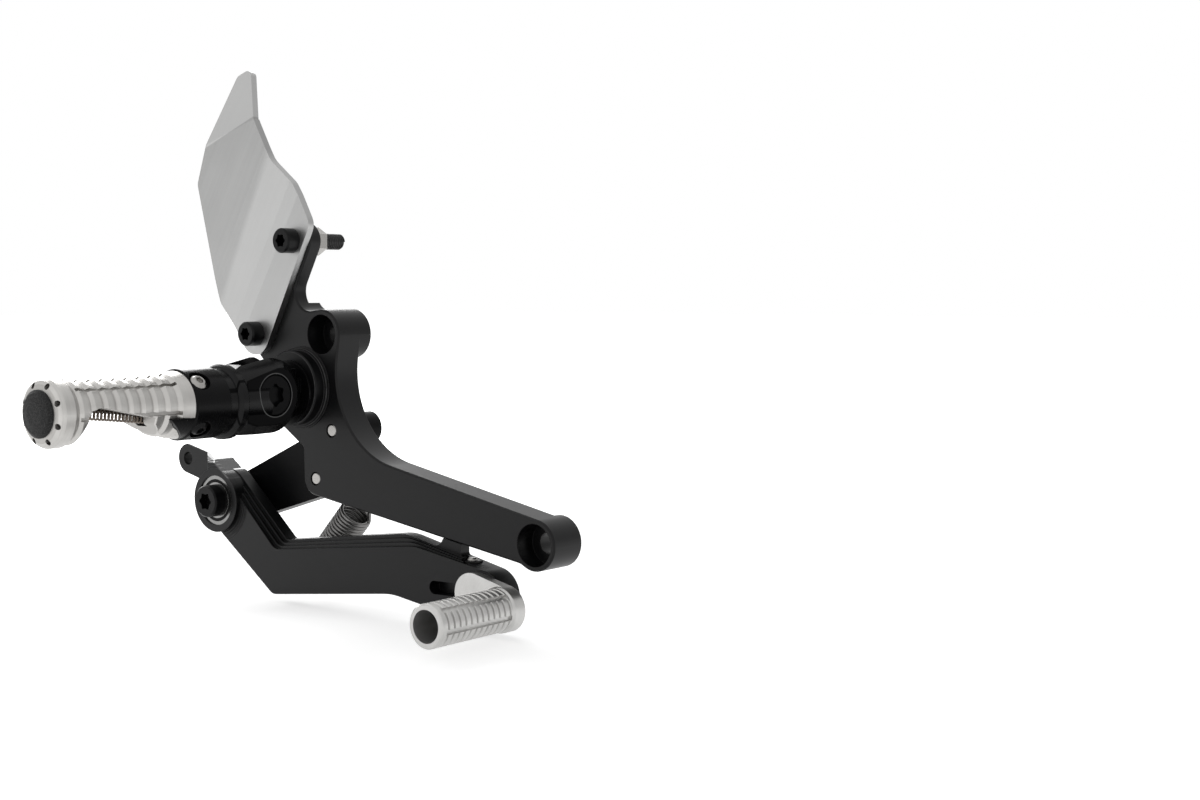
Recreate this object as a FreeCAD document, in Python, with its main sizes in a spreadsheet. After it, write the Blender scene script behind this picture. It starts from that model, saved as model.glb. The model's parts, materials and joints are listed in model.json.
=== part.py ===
# Brake-side rear-set foot control of a motorbike: bracket plate, folding footpeg, heel guard and brake pedal.
# Row frame: +X forward, +Y towards the bike, +Z up. The origin is the upper frame bolt's hole at the inboard face.
# "Out" is a distance from that face towards the rider's foot, along -Y.
import FreeCAD, Part
import math
import os
import Sketcher
from FreeCAD import Placement, Rotation, Vector

doc = FreeCAD.newDocument("RearSetFootrest")

# Driving dimensions, in millimetres and degrees
SIZES = {
    # fits shared by all pieces
    "seatGap": 0.05,
    "runGap": 0.05,
    "bodyGap": 0.3,
    "edgeBreak": 0.6,
    # bracket plate
    "plateThickness": 12.0,
    "bossDepth": 18.0,
    "frontBossDepth": 16.0,
    "bossRadius": 10.0,
    "frameHoleRadius": 4.25,
    "frameHeadRadius": 8.0,
    "frameHeadDepth": 9.0,
    "frontBossX": 110.3,
    "frontBossZ": -75.4,
    "frontBossRadius": 9.7,
    "tabThickness": 6.0,
    "tabRadius": 7.5,
    "tabFilletRadius": 8.0,
    "neckFilletRadius": 36.3,
    "neckFilletX": 44.5,
    "neckFilletZ": -15.0,
    "lobeRadius": 6.8,
    "lobeFilletRadius": 2.0,
    # heel guard
    "guardThickness": 3.0,
    "guardBendAngle": 14.0,
    "guardFlareAngle": 7.0,
    "guardTipAngle": 12.0,
    "guardBendStart": 9.0,
    "guardBendWidth": 17.0,
    "guardGrain": 59.0,
    "guardBlank": 250.0,
    "upperGuardX": -13.5,
    "upperGuardZ": 37.6,
    "lowerGuardX": -35.2,
    "lowerGuardZ": -0.2,
    "guardScrewRadius": 3.0,
    "guardHeadRadius": 5.0,
    "guardHeadHeight": 6.0,
    "upperGuardScrewLength": 27.0,
    "lowerGuardScrewLength": 14.0,
    "guardNutHeight": 6.0,
    "guardNutRadius": 5.77,
    # eccentric peg adjuster
    "discX": -12.0,
    "discZ": -21.7,
    "discRadius": 16.7,
    "discThickness": 6.3,
    "discStepCount": 4,
    "discStepRise": 0.45,
    "discStepWidth": 0.4,
    "discRimRadius": 20.0,
    "discSpigotRadius": 10.0,
    "jointBaseRadius": 12.8,
    "jointBaseThickness": 1.7,
    "jointBoltRadius": 3.0,
    "jointBoltHeadRadius": 5.0,
    "jointBoltHeadHeight": 5.0,
    "jointBoltGrip": 10.0,
    "jointWasherRadius": 12.5,
    "jointWasherThickness": 2.0,
    # fold pivot of the peg
    "pivotX": -11.5,
    "pivotZ": -23.2,
    "pivotOut": 43.0,
    "tongueThickness": 10.0,
    "tongueRadius": 9.5,
    "bushRadius": 6.0,
    "stopWidth": 16.0,
    "stopHeight": 6.0,
    "stopDepth": 1.6,
    "tailGroove": 3.0,
    "anchorRadius": 1.0,
    "anchorOut": 4.5,
    "anchorDrop": -6.0,
    "foldBoltRadius": 4.0,
    "foldHeadRadius": 8.2,
    "foldHeadHeight": 3.0,
    "foldNutRadius": 7.4,
    "foldNutHeight": 4.5,
    # peg
    "pegDrop": 2.1,
    "forkRadius": 15.0,
    "forkWidth": 24.0,
    "forkRim": 3.6,
    "forkCheekRadius": 17.3,
    "forkCheekWaist": 14.1,
    "forkSlotDepth": 11.0,
    "neckRadius": 13.0,
    "ringStart": 15.0,
    "ringRadius": 14.6,
    "ringWidth": 4.0,
    "sleeveStart": 23.0,
    "sleeveLength": 17.0,
    "sleeveRadius": 13.6,
    "spigotRadius": 5.5,
    "spigotEnd": 46.0,
    "gripLength": 59.0,
    "gripRootRadius": 12.9,
    "gripWaistRadius": 11.2,
    "gripEndRadius": 12.5,
    "ribPitch": 5.4,
    "ribGap": 1.5,
    "ribDepth": 0.9,
    "notchWidth": 1.4,
    "notchFloor": 10.1,
    "capRadius": 8.6,
    "capDome": 2.2,
    "drainHoleRadius": 1.1,
    "gripScrewOut": 35.4,
    "gripScrewSeat": 11.5,
    "gripScrewHeadRadius": 3.6,
    "gripScrewHeadHeight": 2.0,
    "gripScrewShank": 1.5,
    "tailDrop": 6.4,
    "tailHoleRadius": 1.6,
    "channelWidth": 5.4,
    "sleeveTongueDrop": 4.4,
    "pegSpringRadius": 2.2,
    "pegSpringWire": 0.9,
    # pedal carrier
    "carrierThickness": 8.0,
    "carrierEndRadius": 10.0,
    "upperPinX": 5.2,
    "upperPinZ": -38.5,
    "lowerPinX": -4.2,
    "lowerPinZ": -58.5,
    "pinBossRadius": 6.6,
    "lowerPinRadius": 6.0,
    "pinBossRise": 2.0,
    "carrierScrewRadius": 2.7,
    "carrierHeadRadius": 5.0,
    "carrierHeadHeight": 4.0,
    "spacerRadius": 8.5,
    # brake pedal
    "pedalPivotX": -58.8,
    "pedalPivotZ": -70.8,
    "hubRadius": 13.4,
    "hubWidth": 11.5,
    "hubOut": 24.0,
    "leverStep": 2.0,
    "leverThickness": 10.0,
    "leverNeck": 20.4,
    "leverCrestX": 53.4,
    "leverCrestRadius": 20.0,
    "terraceDrop": 1.5,
    "terraceCount": 4,
    "terraceRise": 3.6,
    "pushrodX": -83.2,
    "pushrodZ": -54.9,
    "pushrodRadius": 6.3,
    "pushrodThickness": 5.5,
    "pushrodHoleRadius": 2.8,
    "toeEndX": 88.2,
    "toeEndZ": -96.6,
    "toeEndRadius": 10.5,
    "bearingRadius": 10.5,
    "bearingBore": 6.0,
    "bearingWidth": 5.0,
    "bearingRingWall": 1.6,
    "bearingSetback": 0.6,
    "pedalBoltRadius": 4.0,
    "pedalHeadRadius": 6.7,
    "pedalHeadHeight": 6.0,
    # toe peg
    "toePegX": 101.0,
    "toePegZ": -99.0,
    "toePegRadius": 8.6,
    "toePegBore": 6.0,
    "toePegLength": 40.0,
    "toeScrewHeadRadius": 4.2,
    "toeScrewHeadHeight": 4.0,
    "toeBaseThickness": 4.0,
    "toeScrewX": 86.5,
    "toeScrewZ": -94.8,
    "toeScrewPadRadius": 8.0,
    "toeScrewRadius": 2.5,
    "toeSlotReach": 22.0,
    "toeSlotDepth": 5.5,
    "toeRibPitch": 3.0,
    "toeRibDepth": 0.8,
    "toeRowCount": 6,
    "toeRowGap": 1.8,
    # pedal stop
    "stopPostX": 69.0,
    "stopPostWidth": 9.0,
    "postInset": 5.0,
    "stopScrewX": 79.0,
    "stopScrewOut": 16.5,
    "stopScrewRadius": 2.0,
    "stopNutRadius": 3.8,
    "stopNutHeight": 2.4,
    # return spring
    "springRadius": 7.2,
    "springWire": 1.6,
    "springTopX": 12.0,
    "springTopZ": -64.0,
    "springFootX": -18.0,
    "springFootZ": -96.0,
    "springHook": 9.5,
    "springOut": 2.0,
    "postRadius": 3.0,
    "stubRadius": 1.8,
    "stubDepth": 5.0,
}

sheet = doc.addObject("Spreadsheet::Sheet", "Sizes")
for row, (alias, value) in enumerate(SIZES.items(), start=1):
    sheet.set(f"A{row}", alias)
    sheet.set(f"B{row}", str(value))
    sheet.setAlias(f"B{row}", alias)
doc.recompute()


# The value of one cell of the sheet
def size(alias):
    return float(getattr(sheet, alias))


# The cell's name as an expression term
def cell(alias):
    return f"Sizes.{alias}"


# Named places that several pieces share, as (x, z)
def spot(name):
    return size(name + "X"), size(name + "Z")


UPPER_BOSS = (0.0, 0.0)
GUARD_CREASE = ((-55.2, 77.5), (-28.8, 86.6))
OUTWARD = Rotation(Vector(1, 0, 0), 90)
INWARD = Rotation(Vector(1, 0, 0), -90)
FORWARD = Rotation(Vector(0, 1, 0), 90)


NODES = []


# A new body whose label is its node name
def new_body(label, base=Vector(), rotation=Rotation()):
    body = doc.addObject("PartDesign::Body", label)
    NODES.append(label)
    body.Label = label
    body.Placement = Placement(base, rotation)
    return body


# A sketch on one of the body's own origin planes, moved along the plane's normal by an expression
def sketch_on(body, role, offset=None):
    sketch = body.newObject("Sketcher::SketchObject", "Sketch")
    plane = next(f for f in body.Origin.OriginFeatures if f.Role == role)
    sketch.AttachmentSupport = (plane, [""])
    sketch.MapMode = "FlatFace"
    if offset is not None:
        sketch.setExpression("AttachmentOffset.Base.z", offset)
    return sketch


# A circle whose centre and radius follow expressions
def add_circle(sketch, centre, radius, centre_terms=None):
    x, y = centre
    index = sketch.addGeometry(Part.Circle(Vector(x, y, 0), Vector(0, 0, 1), 1.0), False)
    across = sketch.addConstraint(Sketcher.Constraint("DistanceX", index, 3, x))
    along = sketch.addConstraint(Sketcher.Constraint("DistanceY", index, 3, y))
    ring = sketch.addConstraint(Sketcher.Constraint("Radius", index, 1.0))
    sketch.setExpression(f"Constraints[{ring}]", radius)
    if centre_terms:
        sketch.setExpression(f"Constraints[{across}]", centre_terms[0])
        sketch.setExpression(f"Constraints[{along}]", centre_terms[1])


# A circle at a named spot of the sheet
def add_spot_circle(sketch, name, radius):
    add_circle(sketch, spot(name), radius, (cell(name + "X"), cell(name + "Z")))


# A closed polygon through the given points
def add_polygon(sketch, points):
    for start, end in zip(points, points[1:] + points[:1]):
        sketch.addGeometry(Part.LineSegment(Vector(*start, 0), Vector(*end, 0)), False)


# A rectangle from its low corner to its high corner
def add_box(sketch, low, high):
    add_polygon(sketch, [low, (high[0], low[1]), high, (low[0], high[1])])


# A belt round wheels (x, y, radius, side): side 1 keeps the wheel inside the outline, -1 leaves it outside
def belt_segments(wheels):
    count = len(wheels)
    leave = [None] * count
    arrive = [None] * count
    for i in range(count):
        j = (i + 1) % count
        ax, ay, ar, aside = wheels[i]
        bx, by, br, bside = wheels[j]
        span = math.hypot(bx - ax, by - ay)
        heading = math.atan2(by - ay, bx - ax) - math.asin((bside * br - aside * ar) / span)
        left = (-math.sin(heading), math.cos(heading))
        leave[i] = (ax - aside * ar * left[0], ay - aside * ar * left[1])
        arrive[j] = (bx - bside * br * left[0], by - bside * br * left[1])
    return leave, arrive


# Draws the belt as straight runs and tangent arcs
def add_belt(sketch, wheels):
    leave, arrive = belt_segments(wheels)
    for i, (cx, cy, radius, side) in enumerate(wheels):
        start = math.atan2(arrive[i][1] - cy, arrive[i][0] - cx)
        end = math.atan2(leave[i][1] - cy, leave[i][0] - cx)
        sweep = side * ((side * (end - start)) % (2 * math.pi))
        middle = (cx + radius * math.cos(start + sweep / 2), cy + radius * math.sin(start + sweep / 2))
        arc = Part.Arc(Vector(*arrive[i], 0), Vector(*middle, 0), Vector(*leave[i], 0))
        sketch.addGeometry(arc, False)
        after = arrive[(i + 1) % len(wheels)]
        sketch.addGeometry(Part.LineSegment(Vector(*leave[i], 0), Vector(*after, 0)), False)


# Pads a sketch against its normal, along it, or evenly both ways
def pad(body, sketch, length, way="back"):
    feature = body.newObject("PartDesign::Pad", "Pad")
    feature.Profile = sketch
    feature.setExpression("Length", length)
    feature.Reversed = way == "back"
    if way == "both":
        feature.SideType = "Symmetric"
    return feature


# Pockets a sketch against its normal, along it, or right through both ways
def pocket(body, sketch, length=None, way="back"):
    feature = body.newObject("PartDesign::Pocket", "Pocket")
    feature.Profile = sketch
    if length is None:
        feature.Type = "ThroughAll"
        feature.SideType = "Symmetric"
    else:
        feature.setExpression("Length", length)
        feature.Reversed = way == "along"
        if way == "both":
            feature.SideType = "Symmetric"
    return feature


# Turns a profile of (radius, height) points about the body's own Z axis
def turned(body, points, cut=False):
    sketch = sketch_on(body, "XZ_Plane")
    add_polygon(sketch, points)
    feature = body.newObject("PartDesign::Groove" if cut else "PartDesign::Revolution", "Turned")
    feature.Profile = sketch
    feature.ReferenceAxis = (sketch, ["V_Axis"])
    feature.Angle = 360
    return feature


# Chamfers every edge of the last feature whose points pass the test
def break_edges(body, test, width):
    doc.recompute()
    base = body.Tip
    names = []
    for number, edge in enumerate(base.Shape.Edges, start=1):
        if all(test(vertex.Point) for vertex in edge.Vertexes):
            names.append(f"Edge{number}")
    feature = body.newObject("PartDesign::Chamfer", "Chamfer")
    feature.Base = (base, names)
    feature.setExpression("Size", width)
    return feature


# Repeats features round the body's Z axis, over a full turn or an angle from first to last
def ring_pattern(body, originals, count, angle=360):
    pattern = body.newObject("PartDesign::PolarPattern", "Ring")
    pattern.Originals = originals
    axis = next(f for f in body.Origin.OriginFeatures if f.Role == "Z_Axis")
    pattern.Axis = (axis, [""])
    pattern.Angle = angle
    pattern.Occurrences = count
    body.Tip = pattern
    return pattern


# A six-lobed driver recess sunk below the given height along Z
def lobe_recess(body, height, reach, depth):
    sketch = sketch_on(body, "XY_Plane", str(height))
    wheels = []
    for step in range(12):
        angle = math.radians(30 * step)
        outer = step % 2 == 0
        place = reach * (0.82 if outer else 1.04)
        radius = reach * (0.18 if outer else 0.26)
        wheels.append((place * math.cos(angle), place * math.sin(angle), radius, 1 if outer else -1))
    add_belt(sketch, wheels)
    return pocket(body, sketch, str(depth))


# A radial slot's outline at one angle, between two distances from the sketch's centre
def add_radial_box(sketch, degrees, low, high, width):
    angle = math.radians(degrees)
    ahead = (math.cos(angle), math.sin(angle))
    aside = (-ahead[1] * width / 2, ahead[0] * width / 2)
    inner = (ahead[0] * low, ahead[1] * low)
    outer = (ahead[0] * high, ahead[1] * high)
    corners = [(inner, -1), (outer, -1), (outer, 1), (inner, 1)]
    add_polygon(sketch, [(x + side * aside[0], y + side * aside[1]) for (x, y), side in corners])


# A hexagon about the sketch's centre
def add_hexagon(sketch, radius):
    corners = [math.radians(60 * step + 30) for step in range(6)]
    add_polygon(sketch, [(radius * math.cos(a), radius * math.sin(a)) for a in corners])


# A six-sided driver recess sunk below the given height along Z
def hex_recess(body, height, reach, depth):
    sketch = sketch_on(body, "XY_Plane", str(height))
    add_hexagon(sketch, reach)
    return pocket(body, sketch, str(depth))


# A six-sided nut along Z from height 0
def nut_blank(body, radius, height, hole):
    sketch = sketch_on(body, "XY_Plane")
    add_hexagon(sketch, size(radius))
    add_circle(sketch, (0, 0), f"{cell(hole)} + {cell('seatGap')}")
    pad(body, sketch, cell(height), way="along")


# A cap screw along Z: its head stands on height 0 and its shank reaches down
def cap_screw(label, place, head, height, shank, reach, lobed=True):
    body = new_body(label, place.Base, place.Rotation)
    edge = size("edgeBreak")
    profile = [
        (0, -reach),
        (shank - edge, -reach),
        (shank, edge - reach),
        (shank, 0),
        (head, 0),
        (head, height - edge),
        (head - edge, height),
        (0, height),
    ]
    turned(body, profile)
    recess = lobe_recess if lobed else hex_recess
    recess(body, height, head * 0.56, height * 0.55)
    return body


# Wheels of the bracket's outline, counter-clockwise from the upper boss
def bracket_wheels():
    boss = size("bossRadius")
    tab = size("tabRadius")
    fillet = size("tabFilletRadius")
    return [
        (*UPPER_BOSS, boss, 1),
        (size("upperGuardX") + tab - 0.9, boss + fillet - 0.8, fillet, -1),
        (*spot("upperGuard"), tab, 1),
        (*spot("lowerGuard"), tab, 1),
        (size("discX") - 22.4, size("discZ") + 5.8, 3.0, -1),
        (*spot("disc"), size("discRimRadius"), 1),
        (size("lowerPinX") - 9.0, size("lowerPinZ") + 11.3, size("lobeFilletRadius"), -1),
        (*spot("lowerPin"), size("lobeRadius"), 1),
        (size("frontBossX") - 8.8, size("frontBossZ") - 13.1, 6.0, -1),
        (*spot("frontBoss"), size("frontBossRadius"), 1),
        (size("neckFilletX"), size("neckFilletZ"), size("neckFilletRadius"), -1),
    ]


# Height of the bracket arm's underside at one place along X
def arm_underside(x):
    leave, arrive = belt_segments(bracket_wheels())
    start = leave[7]
    end = arrive[8]
    return start[1] + (x - start[0]) * (end[1] - start[1]) / (end[0] - start[0])


# Bracket plate with its two frame bosses, guard tab and bored seats
def main_bracket():
    body = new_body("main_bracket")
    face = cell("bossDepth")
    outline = sketch_on(body, "XZ_Plane", face)
    add_belt(outline, bracket_wheels())
    pad(body, outline, cell("plateThickness"))
    upper_boss = sketch_on(body, "XZ_Plane", face)
    add_circle(upper_boss, UPPER_BOSS, cell("bossRadius"))
    pad(body, upper_boss, cell("bossDepth"))
    front_boss = sketch_on(body, "XZ_Plane", face)
    add_spot_circle(front_boss, "frontBoss", cell("frontBossRadius"))
    pad(body, front_boss, cell("frontBossDepth"))
    front = -size("bossDepth")
    break_edges(body, lambda p: abs(p.y - front) < 0.01, cell("edgeBreak"))
    tab_back = sketch_on(body, "XZ_Plane", f"{face} - {cell('tabThickness')}")
    low = (size("lowerGuardX") - 3 * size("tabRadius"), size("bossRadius") + 2.5)
    add_box(tab_back, low, (size("bossRadius"), size("upperGuardZ") + 3 * size("tabRadius")))
    pocket(body, tab_back, cell("plateThickness"))
    heads = sketch_on(body, "XZ_Plane", face)
    add_circle(heads, UPPER_BOSS, cell("frameHeadRadius"))
    add_spot_circle(heads, "frontBoss", cell("frameHeadRadius"))
    pocket(body, heads, cell("frameHeadDepth"))
    holes = sketch_on(body, "XZ_Plane")
    add_circle(holes, UPPER_BOSS, cell("frameHoleRadius"))
    add_spot_circle(holes, "frontBoss", cell("frameHoleRadius"))
    for pin in ("upperPin", "lowerPin"):
        add_spot_circle(holes, pin, f"{cell('carrierScrewRadius')} + {cell('seatGap')}")
    for screw in ("upperGuard", "lowerGuard"):
        add_spot_circle(holes, screw, f"{cell('guardScrewRadius')} + {cell('seatGap')}")
    add_spot_circle(holes, "disc", f"{cell('discSpigotRadius')} + {cell('seatGap')}")
    pocket(body, holes)
    stub = sketch_on(body, "XZ_Plane", f"{face} - {cell('plateThickness')}")
    add_spot_circle(stub, "springTop", f"{cell('stubRadius')} + {cell('seatGap')}")
    pocket(body, stub, f"{cell('stubDepth')} + 0.5", way="along")
    return body


# Heel guard of bent sheet. Its own Z axis runs along the two bends
def heel_guard():
    grain = math.radians(size("guardGrain"))
    body = new_body("heel_guard", Vector(), Rotation(Vector(0, 1, 0), 90 - size("guardGrain")))

    def local(point):
        x, z = point
        return (x * math.sin(grain) - z * math.cos(grain), x * math.cos(grain) + z * math.sin(grain))

    thick = size("guardThickness")
    seat = size("bossDepth")
    bend = -local(spot("upperGuard"))[0] + size("guardBendStart")
    flare = bend + size("guardBendWidth")
    steep = math.tan(math.radians(size("guardBendAngle")))
    gentle = math.tan(math.radians(size("guardFlareAngle")))

    def inner_face(across):
        lift = max(0, min(across, flare) - bend) * steep
        return seat + lift + max(0, across - flare) * gentle

    stations = [bend - 60, bend - 3, bend + 3, flare - 2, flare + 2, flare + 60]
    lower = [(-s, -inner_face(s)) for s in stations]
    upper = [(x, y - thick) for x, y in lower]
    profile = sketch_on(body, "XY_Plane")
    add_polygon(profile, lower + upper[::-1])
    pad(body, profile, "320", way="both")
    left, right = GUARD_CREASE
    outline = sketch_on(body, "XZ_Plane")
    wheels = [
        (*right, 0.2, 1),
        (*left, 0.2, 1),
        (-56.4, 61.0, 5.0, 1),
        (-48.6, 14.0, 5.0, 1),
        (size("lowerGuardX") - 0.8, size("lowerGuardZ") - 0.2, 8.4, 1),
        (-9.6, 44.0, 6.0, 1),
        (-17.7, 56.5, 7.0, 1),
        (-12.8, 75.8, 10.0, -1),
    ]
    add_belt(outline, [(*local((x, z)), radius, side) for x, z, radius, side in wheels])
    blank = size("guardBlank")
    add_box(outline, (-blank, -blank), (blank, blank))
    pocket(body, outline)
    guard_tip(body, local, inner_face)
    holes = sketch_on(body, "XZ_Plane")
    for name in ("upperGuard", "lowerGuard"):
        add_circle(holes, local(spot(name)), f"{cell('guardScrewRadius')} + 2 * {cell('seatGap')}")
    pocket(body, holes)
    return body


# The guard's tip plate, which leans inboard from the crease
def guard_tip(body, local, inner_face):
    thick = size("guardThickness")
    ends = [local(point) for point in GUARD_CREASE]
    left, right = [Vector(x, -inner_face(-x) - thick, z) for x, z in ends]
    along = (left - right).normalize()
    flare = math.radians(size("guardFlareAngle"))
    face = Vector(math.sin(flare), -math.cos(flare), 0)
    climb = along.cross(face).normalize()
    face = climb.cross(along).normalize()
    lean = math.radians(size("guardTipAngle"))
    climb = climb * math.cos(lean) - face * math.sin(lean)
    plane = Rotation(Vector(1, 0, 0), 90)
    turn = Rotation(along, climb, along.cross(climb), "XYZ")
    sketch = sketch_on(body, "XZ_Plane")
    sketch.AttachmentOffset = Placement(plane.inverted().multVec(right), plane.inverted().multiply(turn))
    width = (left - right).Length
    add_belt(sketch, [(0.2, 0.2, 0.2, 1), (width - 0.2, 0.2, 0.2, 1), (3.4, 17.6, 3.5, 1), (0.0, 18.6, 2.6, 1)])
    pad(body, sketch, cell("guardThickness"), way="along")


# Screws and nut that hold the guard
def guard_fixings():
    outer = size("bossDepth") + size("guardThickness")
    for name, label in (("upperGuard", "guard_screw_upper"), ("lowerGuard", "guard_screw_lower")):
        x, z = spot(name)
        place = Placement(Vector(x, -outer, z), OUTWARD)
        head = (size("guardHeadRadius"), size("guardHeadHeight"), size("guardScrewRadius"))
        cap_screw(label, place, *head, size(name + "ScrewLength"))
    x, z = spot("upperGuard")
    back = size("bossDepth") - size("tabThickness")
    nut = new_body("guard_nut", Vector(x, -back, z), INWARD)
    nut_blank(nut, "guardNutRadius", "guardNutHeight", "guardScrewRadius")


# Stepped eccentric disc that carries the peg joint
def adjuster_disc():
    x, z = spot("disc")
    body = new_body("adjuster_disc", Vector(x, -size("bossDepth"), z), OUTWARD)
    radius = size("discRadius")
    edge = size("edgeBreak")
    points = [(0, -size("plateThickness") + 0.5), (size("discSpigotRadius"), -size("plateThickness") + 0.5)]
    points += [(size("discSpigotRadius"), 0), (radius, 0)]
    for step in range(int(size("discStepCount"))):
        height = (step + 1) * size("discStepRise")
        points += [(radius, height), (radius - size("discStepWidth"), height)]
        radius -= size("discStepWidth")
    top = size("discThickness")
    points += [(radius, top - edge), (radius - edge, top), (0, top)]
    turned(body, points)
    hole = sketch_on(body, "XY_Plane")
    bolt = f"{cell('jointBoltRadius')} + {cell('seatGap')}"
    offset = (size("pivotX") - x, size("pivotZ") - z)
    add_circle(hole, offset, bolt, (f"{cell('pivotX')} - {cell('discX')}", f"{cell('pivotZ')} - {cell('discZ')}"))
    pocket(body, hole)
    return body


# Root of the folding joint: a flange on the disc, a tongue for the fork and a pad that stops the peg
def peg_joint():
    x, z = spot("pivot")
    body = new_body("peg_joint", Vector(x, -size("pivotOut"), z), OUTWARD)
    back = f"{cell('bossDepth')} + {cell('discThickness')} - {cell('pivotOut')}"
    base = sketch_on(body, "XY_Plane", back)
    add_circle(base, (0, 0), cell("jointBaseRadius"))
    pad(body, base, cell("jointBaseThickness"), way="along")
    start = size("bossDepth") + size("discThickness") - size("pivotOut")
    front = start + size("jointBaseThickness")
    reach = size("tongueRadius")
    tongue = sketch_on(body, "YZ_Plane")
    add_belt(tongue, [(0.5 - reach, start + 1, 0.5, 1), (reach - 0.5, start + 1, 0.5, 1), (0, 0, reach, 1)])
    pad(body, tongue, cell("tongueThickness"), way="both")
    stop = sketch_on(body, "XY_Plane", f"{back} + {cell('jointBaseThickness')}")
    half = size("stopWidth") / 2
    add_box(stop, (-half, size("bodyGap") / 2), (half, size("stopHeight")))
    pad(body, stop, cell("stopDepth"), way="along")
    groove = sketch_on(body, "YZ_Plane")
    add_box(groove, (-2 * reach, size("bushRadius") / 2), (2 * reach, 2 * reach))
    pocket(body, groove, cell("tailGroove"), way="both")
    bore = sketch_on(body, "YZ_Plane")
    add_circle(bore, (0, 0), cell("bushRadius"))
    add_circle(bore, (size("anchorDrop"), size("anchorOut")), f"{cell('anchorRadius')} + 0.02")
    pocket(body, bore)
    drilled = sketch_on(body, "XY_Plane", back)
    add_circle(drilled, (0, 0), f"{cell('jointBoltRadius')} + {cell('seatGap')}")
    pocket(body, drilled, cell("jointBoltGrip"), way="along")
    return body


# Small pieces inside the folding joint
def joint_pieces():
    x, z = spot("pivot")
    out = size("pivotOut")
    half = size("tongueThickness") / 2
    bush = new_body("tongue_bush", Vector(x - half, -out, z), FORWARD)
    tube(bush, "bushRadius", f"{cell('foldBoltRadius')} + {cell('runGap')}", "tongueThickness")
    pin = new_body(
        "spring_anchor_pin",
        Vector(x - half, -out - size("anchorOut"), z + size("anchorDrop")),
        FORWARD,
    )
    rod(pin, "anchorRadius", "tongueThickness")
    back = size("bossDepth") - size("plateThickness")
    washer = new_body("joint_washer", Vector(x, -back, z), INWARD)
    tube(washer, "jointWasherRadius", f"{cell('jointBoltRadius')} + {cell('seatGap')}", "jointWasherThickness")
    seat = back - size("jointWasherThickness")
    reach = size("bossDepth") + size("discThickness") - seat + size("jointBoltGrip") - 0.5
    place = Placement(Vector(x, -seat, z), INWARD)
    head = (size("jointBoltHeadRadius"), size("jointBoltHeadHeight"), size("jointBoltRadius"))
    cap_screw("joint_bolt", place, *head, reach, lobed=False)


# A solid pin along Z from height 0
def rod(body, radius, length):
    sketch = sketch_on(body, "XY_Plane")
    add_circle(sketch, (0, 0), cell(radius))
    pad(body, sketch, cell(length), way="along")


# A ring or bush along Z from height 0
def tube(body, outer, inner_term, length):
    sketch = sketch_on(body, "XY_Plane")
    add_circle(sketch, (0, 0), cell(outer))
    add_circle(sketch, (0, 0), inner_term)
    pad(body, sketch, cell(length), way="along")


# Place on the peg's own axis, whose height 0 is level with the fold pivot
def peg_base():
    return Vector(size("pivotX"), -size("pivotOut"), size("pivotZ") - size("pegDrop"))


# Fork of the folding peg with its ring, neck and spigot in one piece
def peg_fork():
    body = new_body("peg_fork", peg_base(), OUTWARD)
    ear = sketch_on(body, "YZ_Plane")
    corner = size("ringStart") - 1.5
    add_belt(ear, [(size("pegDrop"), 0, size("forkRadius"), 1), (9.0, corner, 4, 1), (-9.0, corner, 4, 1)])
    pad(body, ear, cell("forkWidth"), way="both")
    half = size("forkWidth") / 2
    break_edges(body, lambda p: abs(abs(p.x) - half) < 0.01, cell("forkRim"))
    ring = size("ringStart")
    wide = size("forkCheekRadius")
    waist = size("forkCheekWaist")
    cheek = [(waist, ring + 4), (waist, ring), (wide, -2), (wide, -wide), (3 * wide, -wide), (3 * wide, ring + 4)]
    turned(body, cheek, cut=True)
    hump = size("ringRadius")
    neck = size("neckRadius")
    end = size("sleeveStart")
    spigot = size("spigotRadius")
    points = [
        (0, 2),
        (neck, 2),
        (neck, ring - 1),
        (hump - 0.6, ring),
        (hump, ring + 0.8),
        (hump, ring + size("ringWidth") - 0.8),
        (hump - 0.7, ring + size("ringWidth")),
        (size("sleeveRadius") - 0.6, ring + size("ringWidth") + 0.5),
        (size("sleeveRadius") - 0.6, end),
        (spigot, end),
        (spigot, size("spigotEnd") - 0.6),
        (spigot - 0.6, size("spigotEnd")),
        (0, size("spigotEnd")),
    ]
    turned(body, points)
    nose_reach = size("forkSlotDepth")
    front = size("bossDepth") + size("discThickness") + size("jointBaseThickness") - size("pivotOut")
    nose = sketch_on(body, "YZ_Plane")
    low = size("pegDrop") - size("stopHeight")
    add_box(nose, (low, front + 0.4), (size("pegDrop") - size("bodyGap"), -nose_reach + 4))
    pad(body, nose, cell("stopWidth"), way="both")
    slot = sketch_on(body, "XZ_Plane")
    side = size("tongueThickness") / 2 + size("bodyGap")
    add_box(slot, (-side, -40), (side, nose_reach))
    pocket(body, slot)
    fold_bolt_seats(body)
    tail = sketch_on(body, "XY_Plane")
    add_circle(tail, (0, -size("tailDrop")), cell("tailHoleRadius"), ("0", f"-{cell('tailDrop')}"))
    pocket(body, tail, cell("sleeveStart"), way="along")
    screw_holes = sketch_on(body, "XZ_Plane")
    add_circle(screw_holes, (0, size("gripScrewOut")), cell("gripScrewShank"), ("0", cell("gripScrewOut")))
    quarter_turns(body, pocket(body, screw_holes))
    return body


# Turns a cross hole so that the four grip screws stand at the diagonals
def quarter_turns(body, feature):
    sketch = feature.Profile[0]
    sketch.AttachmentOffset = Placement(Vector(), Rotation(Vector(0, 1, 0), 45))
    ring_pattern(body, [feature], 2, 90)


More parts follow.
